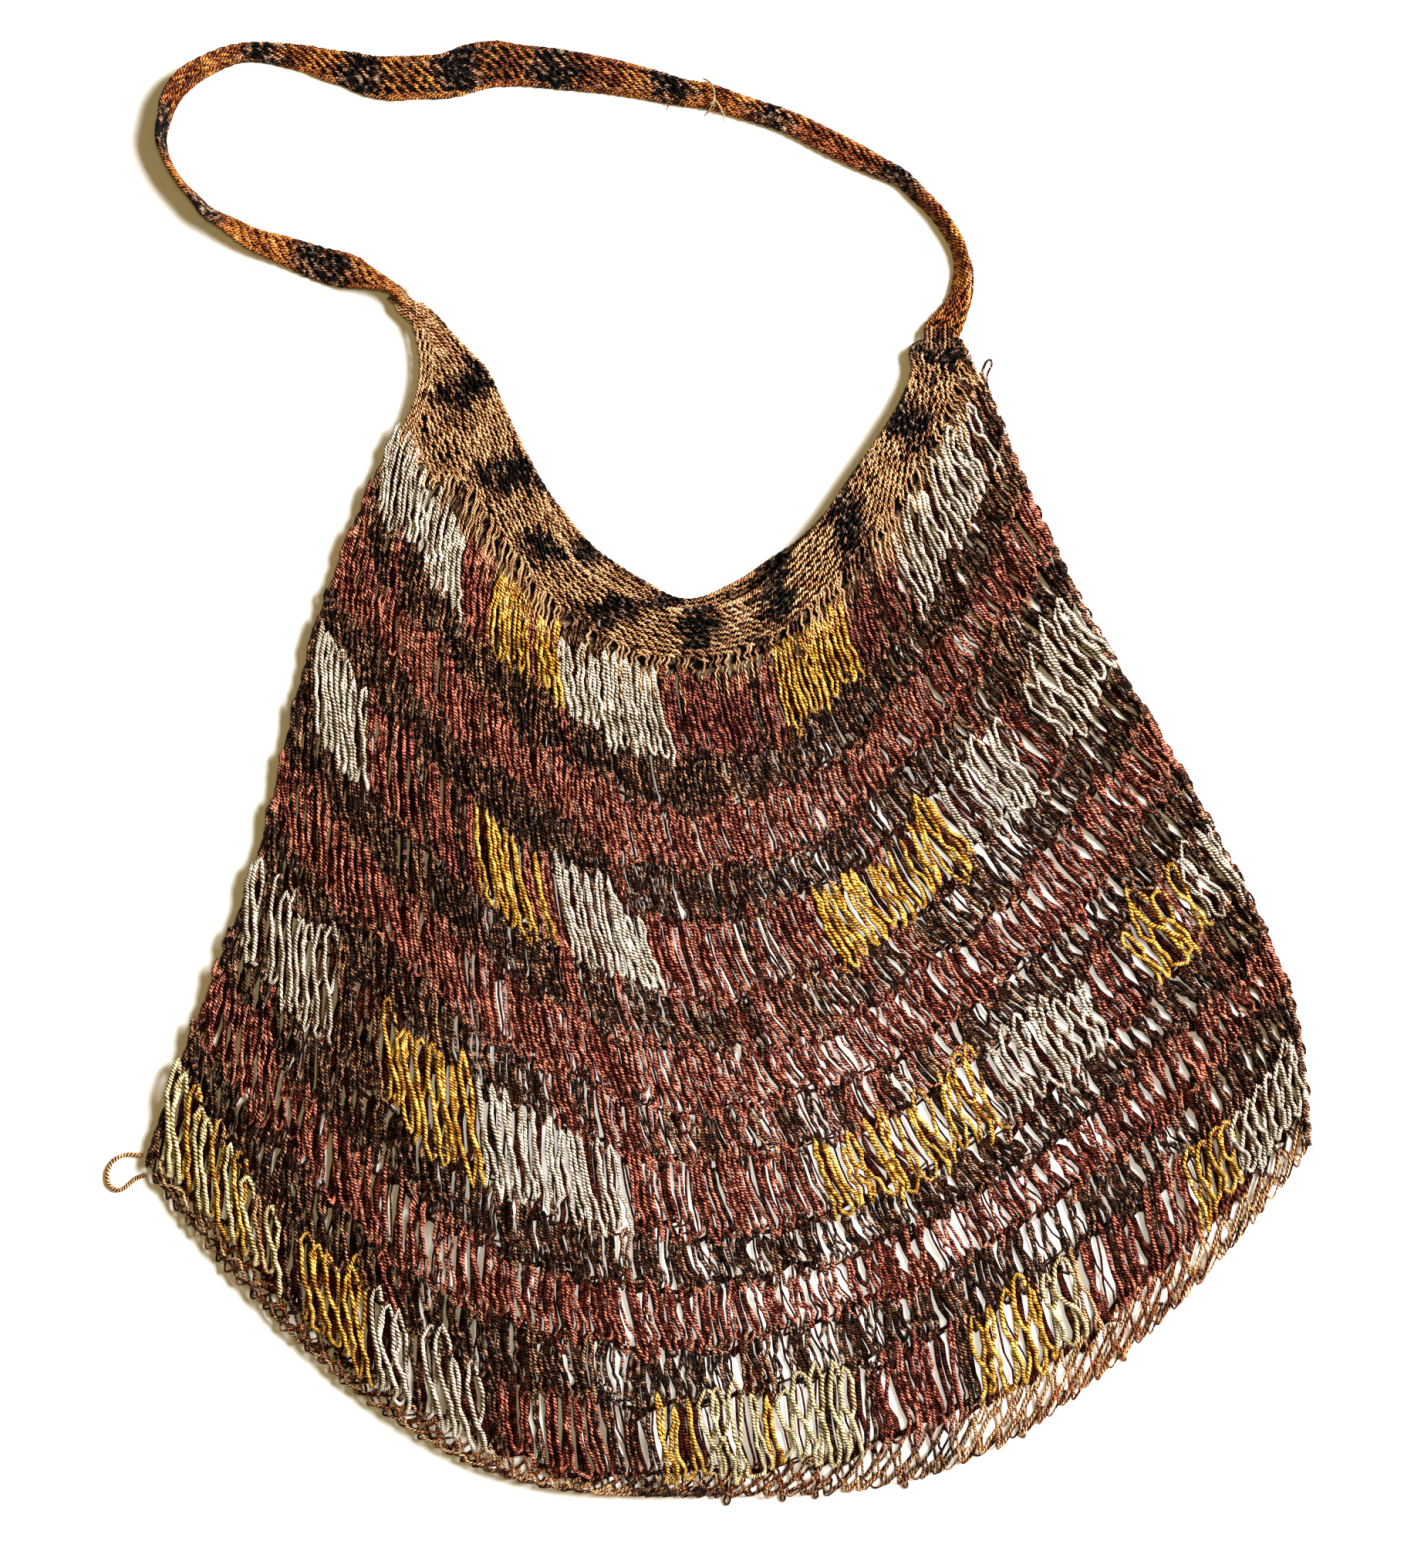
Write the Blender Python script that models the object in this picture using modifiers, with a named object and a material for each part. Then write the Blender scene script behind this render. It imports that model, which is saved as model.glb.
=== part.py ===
# A looped string bag, lying flat with its strap laid out in a loop above it.
# Metres, +Z up. The back of the bag lies on z = 0, and the strap points to +Y.
# The tables below are in millimetres.

import math

import bmesh
import bpy
from mathutils import Vector

# Driving dimensions
MM = 0.001
WALL = 2.0                # thickness of the looped wall
FOLD_GAP = 4.4            # between the middles of the two walls at the folded edges
CROWN = 3.2               # how much further apart they are inside the edges
SWELL = 0.7               # height of the front's slow unevenness
CROWN_REACH = 0.08        # share of the width over which the crown rises
CROWN_RISE = 1.2          # courses over which it rises above the bottom
BAND_CLEARANCE = 0.6      # from the net to the mouth band
BOTTOM_SCALLOP = 1.2      # how far the edge loops stand in and out along the bottom
NET_COLUMNS = 56          # cells across one wall, two for each slit
SLIT_TOP_SHARE = 0.6      # width of a slit's upper end against its lower end
BAND_STRIPS = 4           # cells across the mouth band
FOLD_STEPS = 3
STRAP_STEP = 9.0          # length between two sections of the strap
YARN = 1.8                # diameter of the loose yarn
MIDDLE = Vector((-0.42, -1.74, 0.0))  # middle of the whole bag, where the origin goes

# The front wall inside its folds. Each row is a line of loops across the bag:
# course, then x and y at the left edge, a quarter, the middle, three quarters and the right edge
NET_LINES = (
    (0.0, ((-129.5, 140.5), (-69.5, 61.5), (-7.0, 36.5), (55.0, 68.0), (112.5, 165.0))),
    (4.0, ((-163.5, 57.5), (-85.0, -26.0), (-5.5, -63.5), (74.0, -30.5), (151.5, 73.0))),
    (8.0, ((-188.0, -38.5), (-89.5, -136.5), (10.0, -163.5), (109.0, -124.0), (207.0, -22.5))),
    (12.0, ((-221.5, -128.0), (-105.5, -245.5), (11.5, -261.0), (129.0, -217.5), (245.0, -112.5))),
    (13.0, ((-231.0, -154.0), (-108.0, -274.0), (9.0, -291.5), (130.5, -252.0), (248.0, -138.0))),
    (14.0, ((-234.5, -166.5), (-114.0, -282.5), (3.5, -303.0), (125.0, -279.5), (249.5, -158.5))),
)
QUARTERS = (0.0, 0.25, 0.5, 0.75, 1.0)

# Lines of the wall's mesh, in courses. A slit fills every second cell of an open row.
ROW_LINES = (0.0, 1.4, 2.8, 4.2, 5.2, 5.9, 7.2, 7.9, 9.2, 9.9, 11.2, 11.9, 13.1, 13.65, 14.0)
OPEN_ROWS = (4, 6, 8, 10, 12)

# The mouth band's upper edge: share of the way across the net, x, y,
# how far the back's edge stands above the front's, and how far the cut across the band bows
BAND_EDGE = (
    (0.000, -127.5, 191.0, 0.0, 7.0),
    (0.005, -122.5, 193.5, 0.0, 7.0),
    (0.013, -116.5, 190.0, 0.0, 6.0),
    (0.026, -108.5, 181.5, 0.0, 5.0),
    (0.045, -100.5, 173.0, 0.0, 3.0),
    (0.070, -93.5, 165.5, 0.0, 2.0),
    (0.100, -87.5, 153.0, 0.0, 1.0),
    (0.130, -81.5, 139.5, 0.0, 0.0),
    (0.165, -74.5, 126.0, 0.0, 0.0),
    (0.200, -69.0, 113.0, 2.0, 0.0),
    (0.235, -64.0, 98.5, 7.0, 0.0),
    (0.270, -56.5, 86.0, 9.5, 0.0),
    (0.320, -44.0, 77.0, 9.0, 0.0),
    (0.380, -29.5, 69.5, 8.0, 0.0),
    (0.440, -16.0, 66.0, 5.0, 0.0),
    (0.500, -5.0, 66.0, 4.5, 0.0),
    (0.560, 7.5, 68.0, 7.0, 0.0),
    (0.620, 19.0, 74.0, 7.0, 0.0),
    (0.670, 28.5, 83.0, 5.0, 0.0),
    (0.720, 38.5, 94.0, 1.5, 0.0),
    (0.770, 49.5, 107.5, 0.0, 0.0),
    (0.820, 59.5, 122.0, 0.0, 0.0),
    (0.870, 68.0, 134.0, 0.0, 0.0),
    (0.920, 75.0, 144.5, 0.0, 0.0),
    (0.955, 80.5, 154.5, 0.0, 0.0),
    (0.980, 84.5, 166.0, 0.0, 0.0),
    (0.992, 86.5, 177.0, 0.0, 0.0),
    (1.000, 104.5, 178.5, 0.0, 0.0),
)

# The strap, from the band's left end to its right end:
# x, y, width, thickness, roll in degrees and depth of the lengthwise crease
STRAP_STATIONS = (
    (-127.4, 193.2, 8.0, 3.4, 78, 0.0),
    (-129.5, 197.0, 8.5, 3.0, 74, 0.0),
    (-133.5, 200.5, 9.0, 2.8, 58, 0.0),
    (-140.5, 203.5, 10.5, 2.8, 36, 0.0),
    (-150.0, 207.0, 15.0, 2.8, 12, 0.0),
    (-163.0, 210.5, 14.5, 2.8, 0, 0.0),
    (-177.5, 216.0, 12.5, 2.8, 8, 0.0),
    (-190.5, 220.5, 11.0, 2.8, 24, 0.0),
    (-201.5, 227.0, 10.5, 2.8, 50, 0.0),
    (-209.5, 231.5, 10.5, 2.8, 64, 0.0),
    (-215.0, 237.5, 11.0, 2.8, 77, 0.0),
    (-222.5, 246.0, 11.0, 2.8, 86, 0.0),
    (-227.0, 254.5, 11.0, 2.8, 86, 0.0),
    (-229.0, 262.0, 11.0, 2.8, 79, 0.0),
    (-227.5, 271.0, 11.0, 2.8, 71, 0.0),
    (-225.0, 279.5, 11.0, 2.8, 56, 0.0),
    (-219.0, 287.0, 11.5, 2.8, 50, 0.0),
    (-210.5, 292.5, 11.0, 2.8, 50, 0.0),
    (-202.0, 296.5, 10.0, 2.8, 48, 0.0),
    (-194.0, 298.5, 9.0, 2.8, 40, 0.0),
    (-186.5, 298.5, 9.0, 2.8, 30, 0.0),
    (-177.5, 297.5, 10.0, 2.8, 18, 0.0),
    (-168.5, 296.0, 11.5, 2.8, 8, 0.0),
    (-159.5, 293.5, 13.5, 2.8, 0, 0.0),
    (-150.0, 291.5, 15.5, 2.8, 0, 0.0),
    (-142.0, 289.0, 17.5, 2.8, 0, 0.0),
    (-133.0, 288.0, 19.0, 2.8, 0, 0.0),
    (-122.5, 288.5, 18.5, 2.8, 0, 0.0),
    (-110.5, 289.0, 19.5, 2.8, 0, 0.0),
    (-99.0, 292.5, 20.5, 2.8, 0, 0.0),
    (-91.5, 294.0, 20.0, 2.8, 0, 0.0),
    (-81.0, 293.5, 18.0, 2.8, 0, 0.0),
    (-60.5, 291.5, 17.0, 2.8, 0, 0.0),
    (-40.0, 288.5, 15.0, 2.8, 0, 0.0),
    (-21.5, 284.5, 13.0, 3.2, 0, 0.0),
    (-11.5, 282.0, 11.5, 3.8, 0, 0.6),
    (-1.0, 280.5, 11.0, 4.4, 0, 1.0),
    (11.5, 276.5, 9.8, 4.6, 0, 1.4),
    (31.5, 270.0, 9.8, 4.6, 0, 1.6),
    (51.0, 260.5, 10.5, 4.6, 4, 1.6),
    (61.0, 255.5, 10.2, 4.6, 10, 1.4),
    (70.5, 250.5, 9.0, 4.4, 28, 1.0),
    (79.5, 246.0, 9.0, 4.2, 48, 0.6),
    (87.0, 239.0, 9.0, 4.2, 58, 0.4),
    (94.0, 232.0, 9.0, 4.2, 62, 0.4),
    (99.5, 224.5, 9.0, 4.2, 62, 0.4),
    (103.5, 217.0, 9.0, 4.0, 60, 0.4),
    (105.0, 209.5, 9.0, 3.8, 56, 0.2),
    (104.5, 201.0, 9.5, 3.8, 40, 0.0),
    (103.0, 193.0, 11.0, 4.2, 20, 0.0),
    (99.5, 186.5, 13.5, 5.0, 4, 0.0),
    (96.5, 181.5, 15.5, 5.6, 0, 0.0),
    (95.8, 178.4, 16.0, 5.8, 0, 0.0),
)

# Half of the strap's section, as shares of its width and thickness. The other half mirrors it.
STRAP_SECTION = ((0.5, 0.0), (0.44, 0.4), (0.2, 0.5), (0.44, -0.4), (0.0, -0.5))

# The loose loop at the lower left corner, x and y
CORNER_LOOP = (
    (-237.4, -162.0),
    (-243.0, -161.5),
    (-248.0, -163.0),
    (-251.5, -167.5),
    (-251.5, -173.5),
    (-247.5, -176.5),
    (-243.5, -174.5),
    (-240.0, -171.5),
    (-236.0, -170.0),
)

COLOURS = {
    "net_body": (0.155, 0.035, 0.018),
    "mouth_band": (0.47, 0.24, 0.10),
    "strap": (0.40, 0.19, 0.06),
    "corner_loop": (0.52, 0.34, 0.15),
}


def clear_scene():
    for old in list(bpy.data.objects):
        bpy.data.objects.remove(old, do_unlink=True)


def make_material(name):
    material = bpy.data.materials.new(name + "_yarn")
    material.use_nodes = True
    shader = material.node_tree.nodes["Principled BSDF"]
    shader.inputs["Base Color"].default_value = (*COLOURS[name], 1.0)
    shader.inputs["Roughness"].default_value = 0.85
    shader.inputs["Metallic"].default_value = 0.0
    return material


def add_part(name, bm, collection):
    """Moves the mesh from the tables' millimetres to metres about the bag's middle."""
    bmesh.ops.translate(bm, vec=-MIDDLE, verts=bm.verts)
    bmesh.ops.scale(bm, vec=(MM, MM, MM), verts=bm.verts)
    mesh = bpy.data.meshes.new(name)
    bm.to_mesh(mesh)
    bm.free()
    mesh.materials.append(make_material(name))
    mesh.shade_smooth()
    part = bpy.data.objects.new(name, mesh)
    collection.objects.link(part)
    return part


def smooth_step(share):
    share = min(1.0, max(0.0, share))
    return share * share * (3.0 - 2.0 * share)


def slopes(knots, values):
    steps = [(b - a) / (t - s) for a, b, s, t in zip(values, values[1:], knots, knots[1:])]
    inner = [
        (steps[i] * (knots[i + 2] - knots[i + 1]) + steps[i + 1] * (knots[i + 1] - knots[i]))
        / (knots[i + 2] - knots[i])
        for i in range(len(steps) - 1)
    ]
    return [steps[0] * 2.0 - inner[0], *inner, steps[-1] * 2.0 - inner[-1]]


def curve_at(knots, values, t):
    """The smooth curve that passes through each value at its knot."""
    leans = slopes(knots, values)
    i = max(k for k in range(len(knots) - 1) if k == 0 or knots[k] <= t)
    width = knots[i + 1] - knots[i]
    s = (t - knots[i]) / width
    return (
        values[i] * (1 + 2 * s) * (1 - s) ** 2
        + leans[i] * (width * s * (1 - s) ** 2)
        + values[i + 1] * (s * s * (3 - 2 * s))
        + leans[i + 1] * (width * s * s * (s - 1))
    )


def net_point(across, course):
    """x and y of the net at a share of the way across it and a number of courses down."""
    courses = [line[0] for line in NET_LINES]
    places = [curve_at(QUARTERS, [Vector(p) for p in line[1]], across) for line in NET_LINES]
    return curve_at(courses, places, course)


def front_height(across, course):
    """Height of the middle of the front wall: it crowns a little, and is slowly uneven."""
    side = smooth_step(min(across, 1.0 - across) / CROWN_REACH)
    foot = smooth_step((NET_LINES[-1][0] - course) / CROWN_RISE)
    uneven = math.sin(9.0 * across + 0.9 * course) * math.cos(5.0 * across - 0.7 * course)
    return WALL / 2 + FOLD_GAP + (CROWN + SWELL * uneven) * side * foot


def normals_of(path):
    """Outward normals in plan along a path with the outside on its right."""
    ahead = path[1:] + path[-1:]
    behind = path[:1] + path[:-1]
    return [Vector((b.y - a.y, a.x - b.x)).normalized() for a, b in zip(behind, ahead)]


def fold_over(bm, verts, back_verts, outward):
    """Carries the front's edge round a half circle and joins it to the back's edge."""
    for step in range(1, FOLD_STEPS + 1):
        angle = math.pi * step / FOLD_STEPS
        edges = [bm.edges.get(pair) for pair in zip(verts, verts[1:])]
        made = bmesh.ops.extrude_edge_only(bm, edges=edges)["geom"]
        fresh = [v for v in made if isinstance(v, bmesh.types.BMVert)]
        after = [next(e.other_vert(v) for e in v.link_edges if e.other_vert(v) in fresh) for v in verts]
        if step == 1:
            tops = [v.co.copy() for v in verts]
        for vert, top, under, out in zip(after, tops, back_verts, outward):
            middle = (top + under.co) / 2
            radius = (top.z - under.co.z) / 2
            vert.co = middle + Vector((out.x, out.y, 0.0)) * (radius * math.sin(angle))
            vert.co.z = middle.z + radius * math.cos(angle)
        verts = after
    bmesh.ops.weld_verts(bm, targetmap=dict(zip(verts, back_verts)))


def wall_grid(bm, columns, rows):
    """A flat grid, given back as rows of points from the mouth down."""
    made = bmesh.ops.create_grid(bm, x_segments=columns, y_segments=rows, size=0.5)["verts"]
    made.sort(key=lambda v: (-round(v.co.y, 4), v.co.x))
    return [made[k * (columns + 1):(k + 1) * (columns + 1)] for k in range(rows + 1)]


def face_out(bm, front_vert):
    bmesh.ops.recalc_face_normals(bm, faces=bm.faces)
    front_vert.normal_update()
    if front_vert.normal.z < 0:
        bmesh.ops.reverse_faces(bm, faces=bm.faces)


def add_wall(part):
    wall = part.modifiers.new("wall", "SOLIDIFY")
    wall.thickness = WALL * MM
    wall.offset = 0.0
    wall.use_even_offset = False


def first_slit(row):
    """Slits in neighbouring open rows stand half a step apart."""
    return 1 + OPEN_ROWS.index(row) % 2


def slit_share(row, column):
    """Shifts a slit's corners so that its upper end is narrower."""
    if row not in OPEN_ROWS:
        return 0.0
    towards = -1 if (column - first_slit(row)) % 2 else 1
    return towards * (1.0 - SLIT_TOP_SHARE) / 2


def make_net_body(collection):
    bm = bmesh.new()
    rows = len(ROW_LINES) - 1
    front = wall_grid(bm, NET_COLUMNS, rows)
    back = wall_grid(bm, NET_COLUMNS, rows)
    for j, course in enumerate(ROW_LINES):
        for i in range(NET_COLUMNS + 1):
            inside = 0 < i < NET_COLUMNS
            across = (i + (slit_share(j, i) if inside else 0.0)) / NET_COLUMNS
            place = net_point(across, course)
            if j == rows and inside:
                place.y += BOTTOM_SCALLOP * (1 if i % 2 else -1)
            front[j][i].co = (*place, front_height(across, course))
            back[j][i].co = (*place, WALL / 2)
    left = [(j, 0) for j in range(rows)]
    foot = [(rows, i) for i in range(NET_COLUMNS + 1)]
    right = [(j, NET_COLUMNS) for j in reversed(range(rows))]
    rim = left + foot + right
    path = [front[j][i].co.xy for j, i in rim]
    outward = normals_of(path)
    outward[0], outward[-1] = CORNER_NORMALS["left"], CORNER_NORMALS["right"]
    slits = [
        shared_face(wall[j][i], wall[j + 1][i + 1])
        for wall in (front, back)
        for j in OPEN_ROWS
        for i in range(first_slit(j), NET_COLUMNS - 1, 2)
    ]
    fold_over(bm, [front[j][i] for j, i in rim], [back[j][i] for j, i in rim], outward)
    bmesh.ops.delete(bm, geom=slits, context="FACES_ONLY")
    face_out(bm, front[1][NET_COLUMNS // 2])
    add_wall(add_part("net_body", bm, collection))


def shared_face(one, other):
    return next(face for face in one.link_faces if face in other.link_faces)


def band_section(across, lift_share):
    """Points across the band, from its upper edge down to the net, in plan."""
    shares = [row[0] for row in BAND_EDGE]
    columns = [[row[k] for row in BAND_EDGE] for k in (1, 2, 3, 4)]
    x, y, lift, bow = (curve_at(shares, column, across) for column in columns)
    before = net_point(max(0.0, across - 0.01), 0.0)
    after = net_point(min(1.0, across + 0.01), 0.0)
    to_mouth = Vector((before.y - after.y, after.x - before.x)).normalized()
    foot = net_point(across, 0.0) + to_mouth * BAND_CLEARANCE
    head = Vector((x, y)) + to_mouth * (max(0.0, lift) * lift_share)
    sideways = Vector((head.y - foot.y, foot.x - head.x)).normalized() * max(0.0, bow)
    return [
        head.lerp(foot, k / BAND_STRIPS) + sideways * (4 * k * (BAND_STRIPS - k) / BAND_STRIPS**2)
        for k in range(BAND_STRIPS + 1)
    ]


def band_shares():
    """Each table row, and one place between each two rows that lie far apart."""
    shares = [row[0] for row in BAND_EDGE]
    between = [(a + b) / 2 for a, b in zip(shares, shares[1:]) if b - a > 0.03]
    return sorted(shares + between)


def make_mouth_band(collection):
    bm = bmesh.new()
    shares = band_shares()
    front = wall_grid(bm, len(shares) - 1, BAND_STRIPS)
    back = wall_grid(bm, len(shares) - 1, BAND_STRIPS)
    for i, across in enumerate(shares):
        for wall, lift_share in ((front, 0.0), (back, 1.0)):
            for k, place in enumerate(band_section(across, lift_share)):
                height = front_height(across, 0.0) if wall is front else WALL / 2
                wall[k][i].co = (*place, height)
    downwards = list(range(BAND_STRIPS + 1))
    for i, side, order in ((0, "left", downwards), (len(shares) - 1, "right", downwards[::-1])):
        path = [front[k][i].co.xy for k in order]
        outward = normals_of(path)
        outward[order.index(BAND_STRIPS)] = CORNER_NORMALS[side]
        fold_over(bm, [front[k][i] for k in order], [back[k][i] for k in order], outward)
    face_out(bm, front[2][len(shares) // 2])
    add_wall(add_part("mouth_band", bm, collection))


def strap_section(width, thickness, roll, crease):
    """Points round the strap's section, sideways and up, with its lowest point at zero."""
    right = [Vector((across * width, up * thickness)) for across, up in STRAP_SECTION[:3]]
    top = [Vector((0.0, thickness / 2 - crease))]
    left = [Vector((-p.x, p.y)) for p in reversed(right)]
    under = [Vector((across * width, up * thickness)) for across, up in STRAP_SECTION[3:]]
    ring = right + top + left + [Vector((-under[0].x, under[0].y)), under[1], under[0]]
    turn = math.radians(roll)
    turned = [
        Vector((p.x * math.cos(turn) - p.y * math.sin(turn), p.x * math.sin(turn) + p.y * math.cos(turn)))
        for p in ring
    ]
    lowest = min(p.y for p in turned)
    return [Vector((p.x, p.y - lowest)) for p in turned]


def band_end(one, other):
    """Direction along the band's short end edge, which the strap's end lies flat against."""
    a, b = BAND_EDGE[one], BAND_EDGE[other]
    return Vector((b[1] - a[1], b[2] - a[2])).normalized()


def make_strap(collection):
    lengths = [0.0]
    for a, b in zip(STRAP_STATIONS, STRAP_STATIONS[1:]):
        lengths.append(lengths[-1] + math.dist(a[:2], b[:2]))
    columns = [[row[k] for row in STRAP_STATIONS] for k in range(6)]
    count = round(lengths[-1] / STRAP_STEP)
    bm = bmesh.new()
    rings = []
    for k in range(count + 1):
        at = lengths[-1] * k / count
        x, y, width, thickness, roll, crease = (curve_at(lengths, column, at) for column in columns)
        ahead = min(at + 1.0, lengths[-1])
        behind = max(at - 1.0, 0.0)
        if k == 0:
            side = band_end(0, 1)
        elif k == count:
            side = band_end(-2, -1)
        else:
            along, up = (curve_at(lengths, c, ahead) - curve_at(lengths, c, behind) for c in columns[:2])
            side = Vector((-up, along)).normalized()
        section = strap_section(width, thickness, roll, max(0.0, crease))
        rings.append([bm.verts.new((x + side.x * p.x, y + side.y * p.x, p.y)) for p in section])
    for ring, after in zip(rings, rings[1:]):
        for k in range(len(ring)):
            n = (k + 1) % len(ring)
            bm.faces.new((ring[k], ring[n], after[n], after[k]))
    bm.faces.new(rings[0])
    bm.faces.new(rings[-1])
    bmesh.ops.recalc_face_normals(bm, faces=bm.faces)
    strap = add_part("strap", bm, collection)
    strap.data.set_sharp_from_angle(angle=math.radians(50))


def make_corner_loop(collection):
    """The loose yarn: a round tube through the table's points."""
    points = [Vector(p) for p in CORNER_LOOP]
    knots = list(range(len(points)))
    steps = 2 * (len(points) - 1)
    curve = bpy.data.curves.new("corner_loop", "CURVE")
    curve.dimensions = "3D"
    curve.bevel_depth = YARN / 2 * MM
    curve.bevel_resolution = 2
    curve.use_fill_caps = True
    spline = curve.splines.new("POLY")
    spline.points.add(steps)
    for k, point in enumerate(spline.points):
        place = curve_at(knots, points, k / 2).to_3d() - MIDDLE
        point.co = (place.x * MM, place.y * MM, (YARN / 2 + 0.05) * MM, 1.0)
    curve.materials.append(make_material("corner_loop"))
    collection.objects.link(bpy.data.objects.new("corner_loop", curve))


def corner_normal(side):
    """Where the net and the band meet at a fold, both turn over in this direction."""
    across = 0.0 if side == "left" else 1.0
    run = net_point(across, 0.0) - net_point(across, 1.4)
    upright = Vector((run.y, -run.x)) if side == "right" else Vector((-run.y, run.x))
    return upright.normalized()


clear_scene()
CORNER_NORMALS = {side: corner_normal(side) for side in ("left", "right")}
bag = bpy.data.collections.new("string_bag")
bpy.context.scene.collection.children.link(bag)
make_net_body(bag)
make_mouth_band(bag)
make_strap(bag)
make_corner_loop(bag)
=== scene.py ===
# Looks of the looped string bag: every loop of yarn in both walls, the stitched mouth band,
# the stitched strap and the loose ends. Metres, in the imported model's frame.
import math
import random

import bmesh
import bpy
import numpy as np
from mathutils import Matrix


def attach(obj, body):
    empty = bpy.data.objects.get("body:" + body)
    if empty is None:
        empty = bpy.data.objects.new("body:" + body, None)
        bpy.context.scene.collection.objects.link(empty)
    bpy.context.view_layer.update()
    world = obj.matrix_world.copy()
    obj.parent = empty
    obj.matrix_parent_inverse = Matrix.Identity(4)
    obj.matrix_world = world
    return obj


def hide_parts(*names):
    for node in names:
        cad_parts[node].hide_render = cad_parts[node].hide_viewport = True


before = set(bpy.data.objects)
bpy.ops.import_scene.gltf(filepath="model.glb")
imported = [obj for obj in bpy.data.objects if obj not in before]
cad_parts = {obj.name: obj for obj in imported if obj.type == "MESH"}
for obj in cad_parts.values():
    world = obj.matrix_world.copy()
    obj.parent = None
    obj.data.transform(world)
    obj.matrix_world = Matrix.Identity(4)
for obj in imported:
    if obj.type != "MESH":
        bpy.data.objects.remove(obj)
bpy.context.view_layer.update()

mm = 0.001
bagMiddle = (-0.42, -1.74)   # mm, the place in the tables below that is the frame's origin

# camera, floor and light
photo = {
    "viewHeight": 0.6555,    # what the picture covers at the bag
    "centre": (-0.0031, -0.0050),
    "distance": 1.5,
    "lens": 50.0,
}
floorLook = {"size": 6.0, "colour": (0.93, 0.93, 0.925), "roughness": 0.9}
lights = {
    "key": {"at": (1.65, 0.60, 1.35), "size": 1.15, "power": 232.0, "colour": (1.0, 0.985, 0.965)},
    "above": {"at": (0.1, 0.1, 2.2), "size": 0.3, "power": 9.0, "colour": (1.0, 0.76, 0.36)},
}
# A narrow lamp high above the middle of the net, that the floor under its gaps is lit by
gapLamp = {"at": (0.045, -0.135, 2.4), "angle": 8.6, "blend": 0.55, "size": 0.03, "power": 120.0}
roomLight = {"colour": (1.0, 0.67, 0.18), "strength": 0.14}


def aim(thing, at, target):
    thing.location = at
    way = [t - a for t, a in zip(target, at)]
    thing.rotation_euler = (
        math.atan2(math.hypot(way[0], way[1]), -way[2]),
        0.0,
        math.atan2(-way[0], way[1]),
    )


def placeCamera():
    camera = bpy.data.cameras.new("photoCamera")
    camera.sensor_fit = "VERTICAL"
    camera.lens = photo["lens"]
    camera.sensor_height = photo["lens"] * photo["viewHeight"] / photo["distance"]
    camera.clip_start = 0.05
    camera.clip_end = 20.0
    holder = bpy.data.objects.new("photoCamera", camera)
    holder.location = (*photo["centre"], photo["distance"])
    bpy.context.scene.collection.objects.link(holder)
    bpy.context.scene.camera = holder


def layFloor():
    bm = bmesh.new()
    bmesh.ops.create_grid(bm, x_segments=1, y_segments=1, size=floorLook["size"] / 2)
    mesh = bpy.data.meshes.new("floor")
    bm.to_mesh(mesh)
    bm.free()
    paint = bpy.data.materials.new("floorPaint")
    paint.use_nodes = True
    shader = paint.node_tree.nodes["Principled BSDF"]
    shader.inputs["Base Color"].default_value = (*floorLook["colour"], 1.0)
    shader.inputs["Roughness"].default_value = floorLook["roughness"]
    shader.inputs["Specular IOR Level"].default_value = 0.1
    mesh.materials.append(paint)
    floor = bpy.data.objects.new("floor", mesh)
    bpy.context.scene.collection.objects.link(floor)


def hangLights():
    for name, light in lights.items():
        lamp = bpy.data.lights.new(name, "AREA")
        lamp.energy = light["power"]
        lamp.size = light["size"]
        lamp.color = light["colour"]
        holder = bpy.data.objects.new(name, lamp)
        aim(holder, light["at"], (0.0, 0.0, 0.0))
        bpy.context.scene.collection.objects.link(holder)
    lamp = bpy.data.lights.new("gapLamp", "SPOT")
    lamp.energy = gapLamp["power"]
    lamp.spot_size = math.radians(gapLamp["angle"])
    lamp.spot_blend = gapLamp["blend"]
    lamp.shadow_soft_size = gapLamp["size"]
    holder = bpy.data.objects.new("gapLamp", lamp)
    holder.location = gapLamp["at"]
    bpy.context.scene.collection.objects.link(holder)
    room = bpy.data.worlds.new("room")
    room.use_nodes = True
    air = room.node_tree.nodes["Background"]
    air.inputs["Color"].default_value = (*roomLight["colour"], 1.0)
    air.inputs["Strength"].default_value = roomLight["strength"]
    bpy.context.scene.world = room
    bpy.context.scene.view_settings.view_transform = "Standard"


placeCamera()
layFloor()
hangLights()
print("camera, floor and lights are in place")

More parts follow.
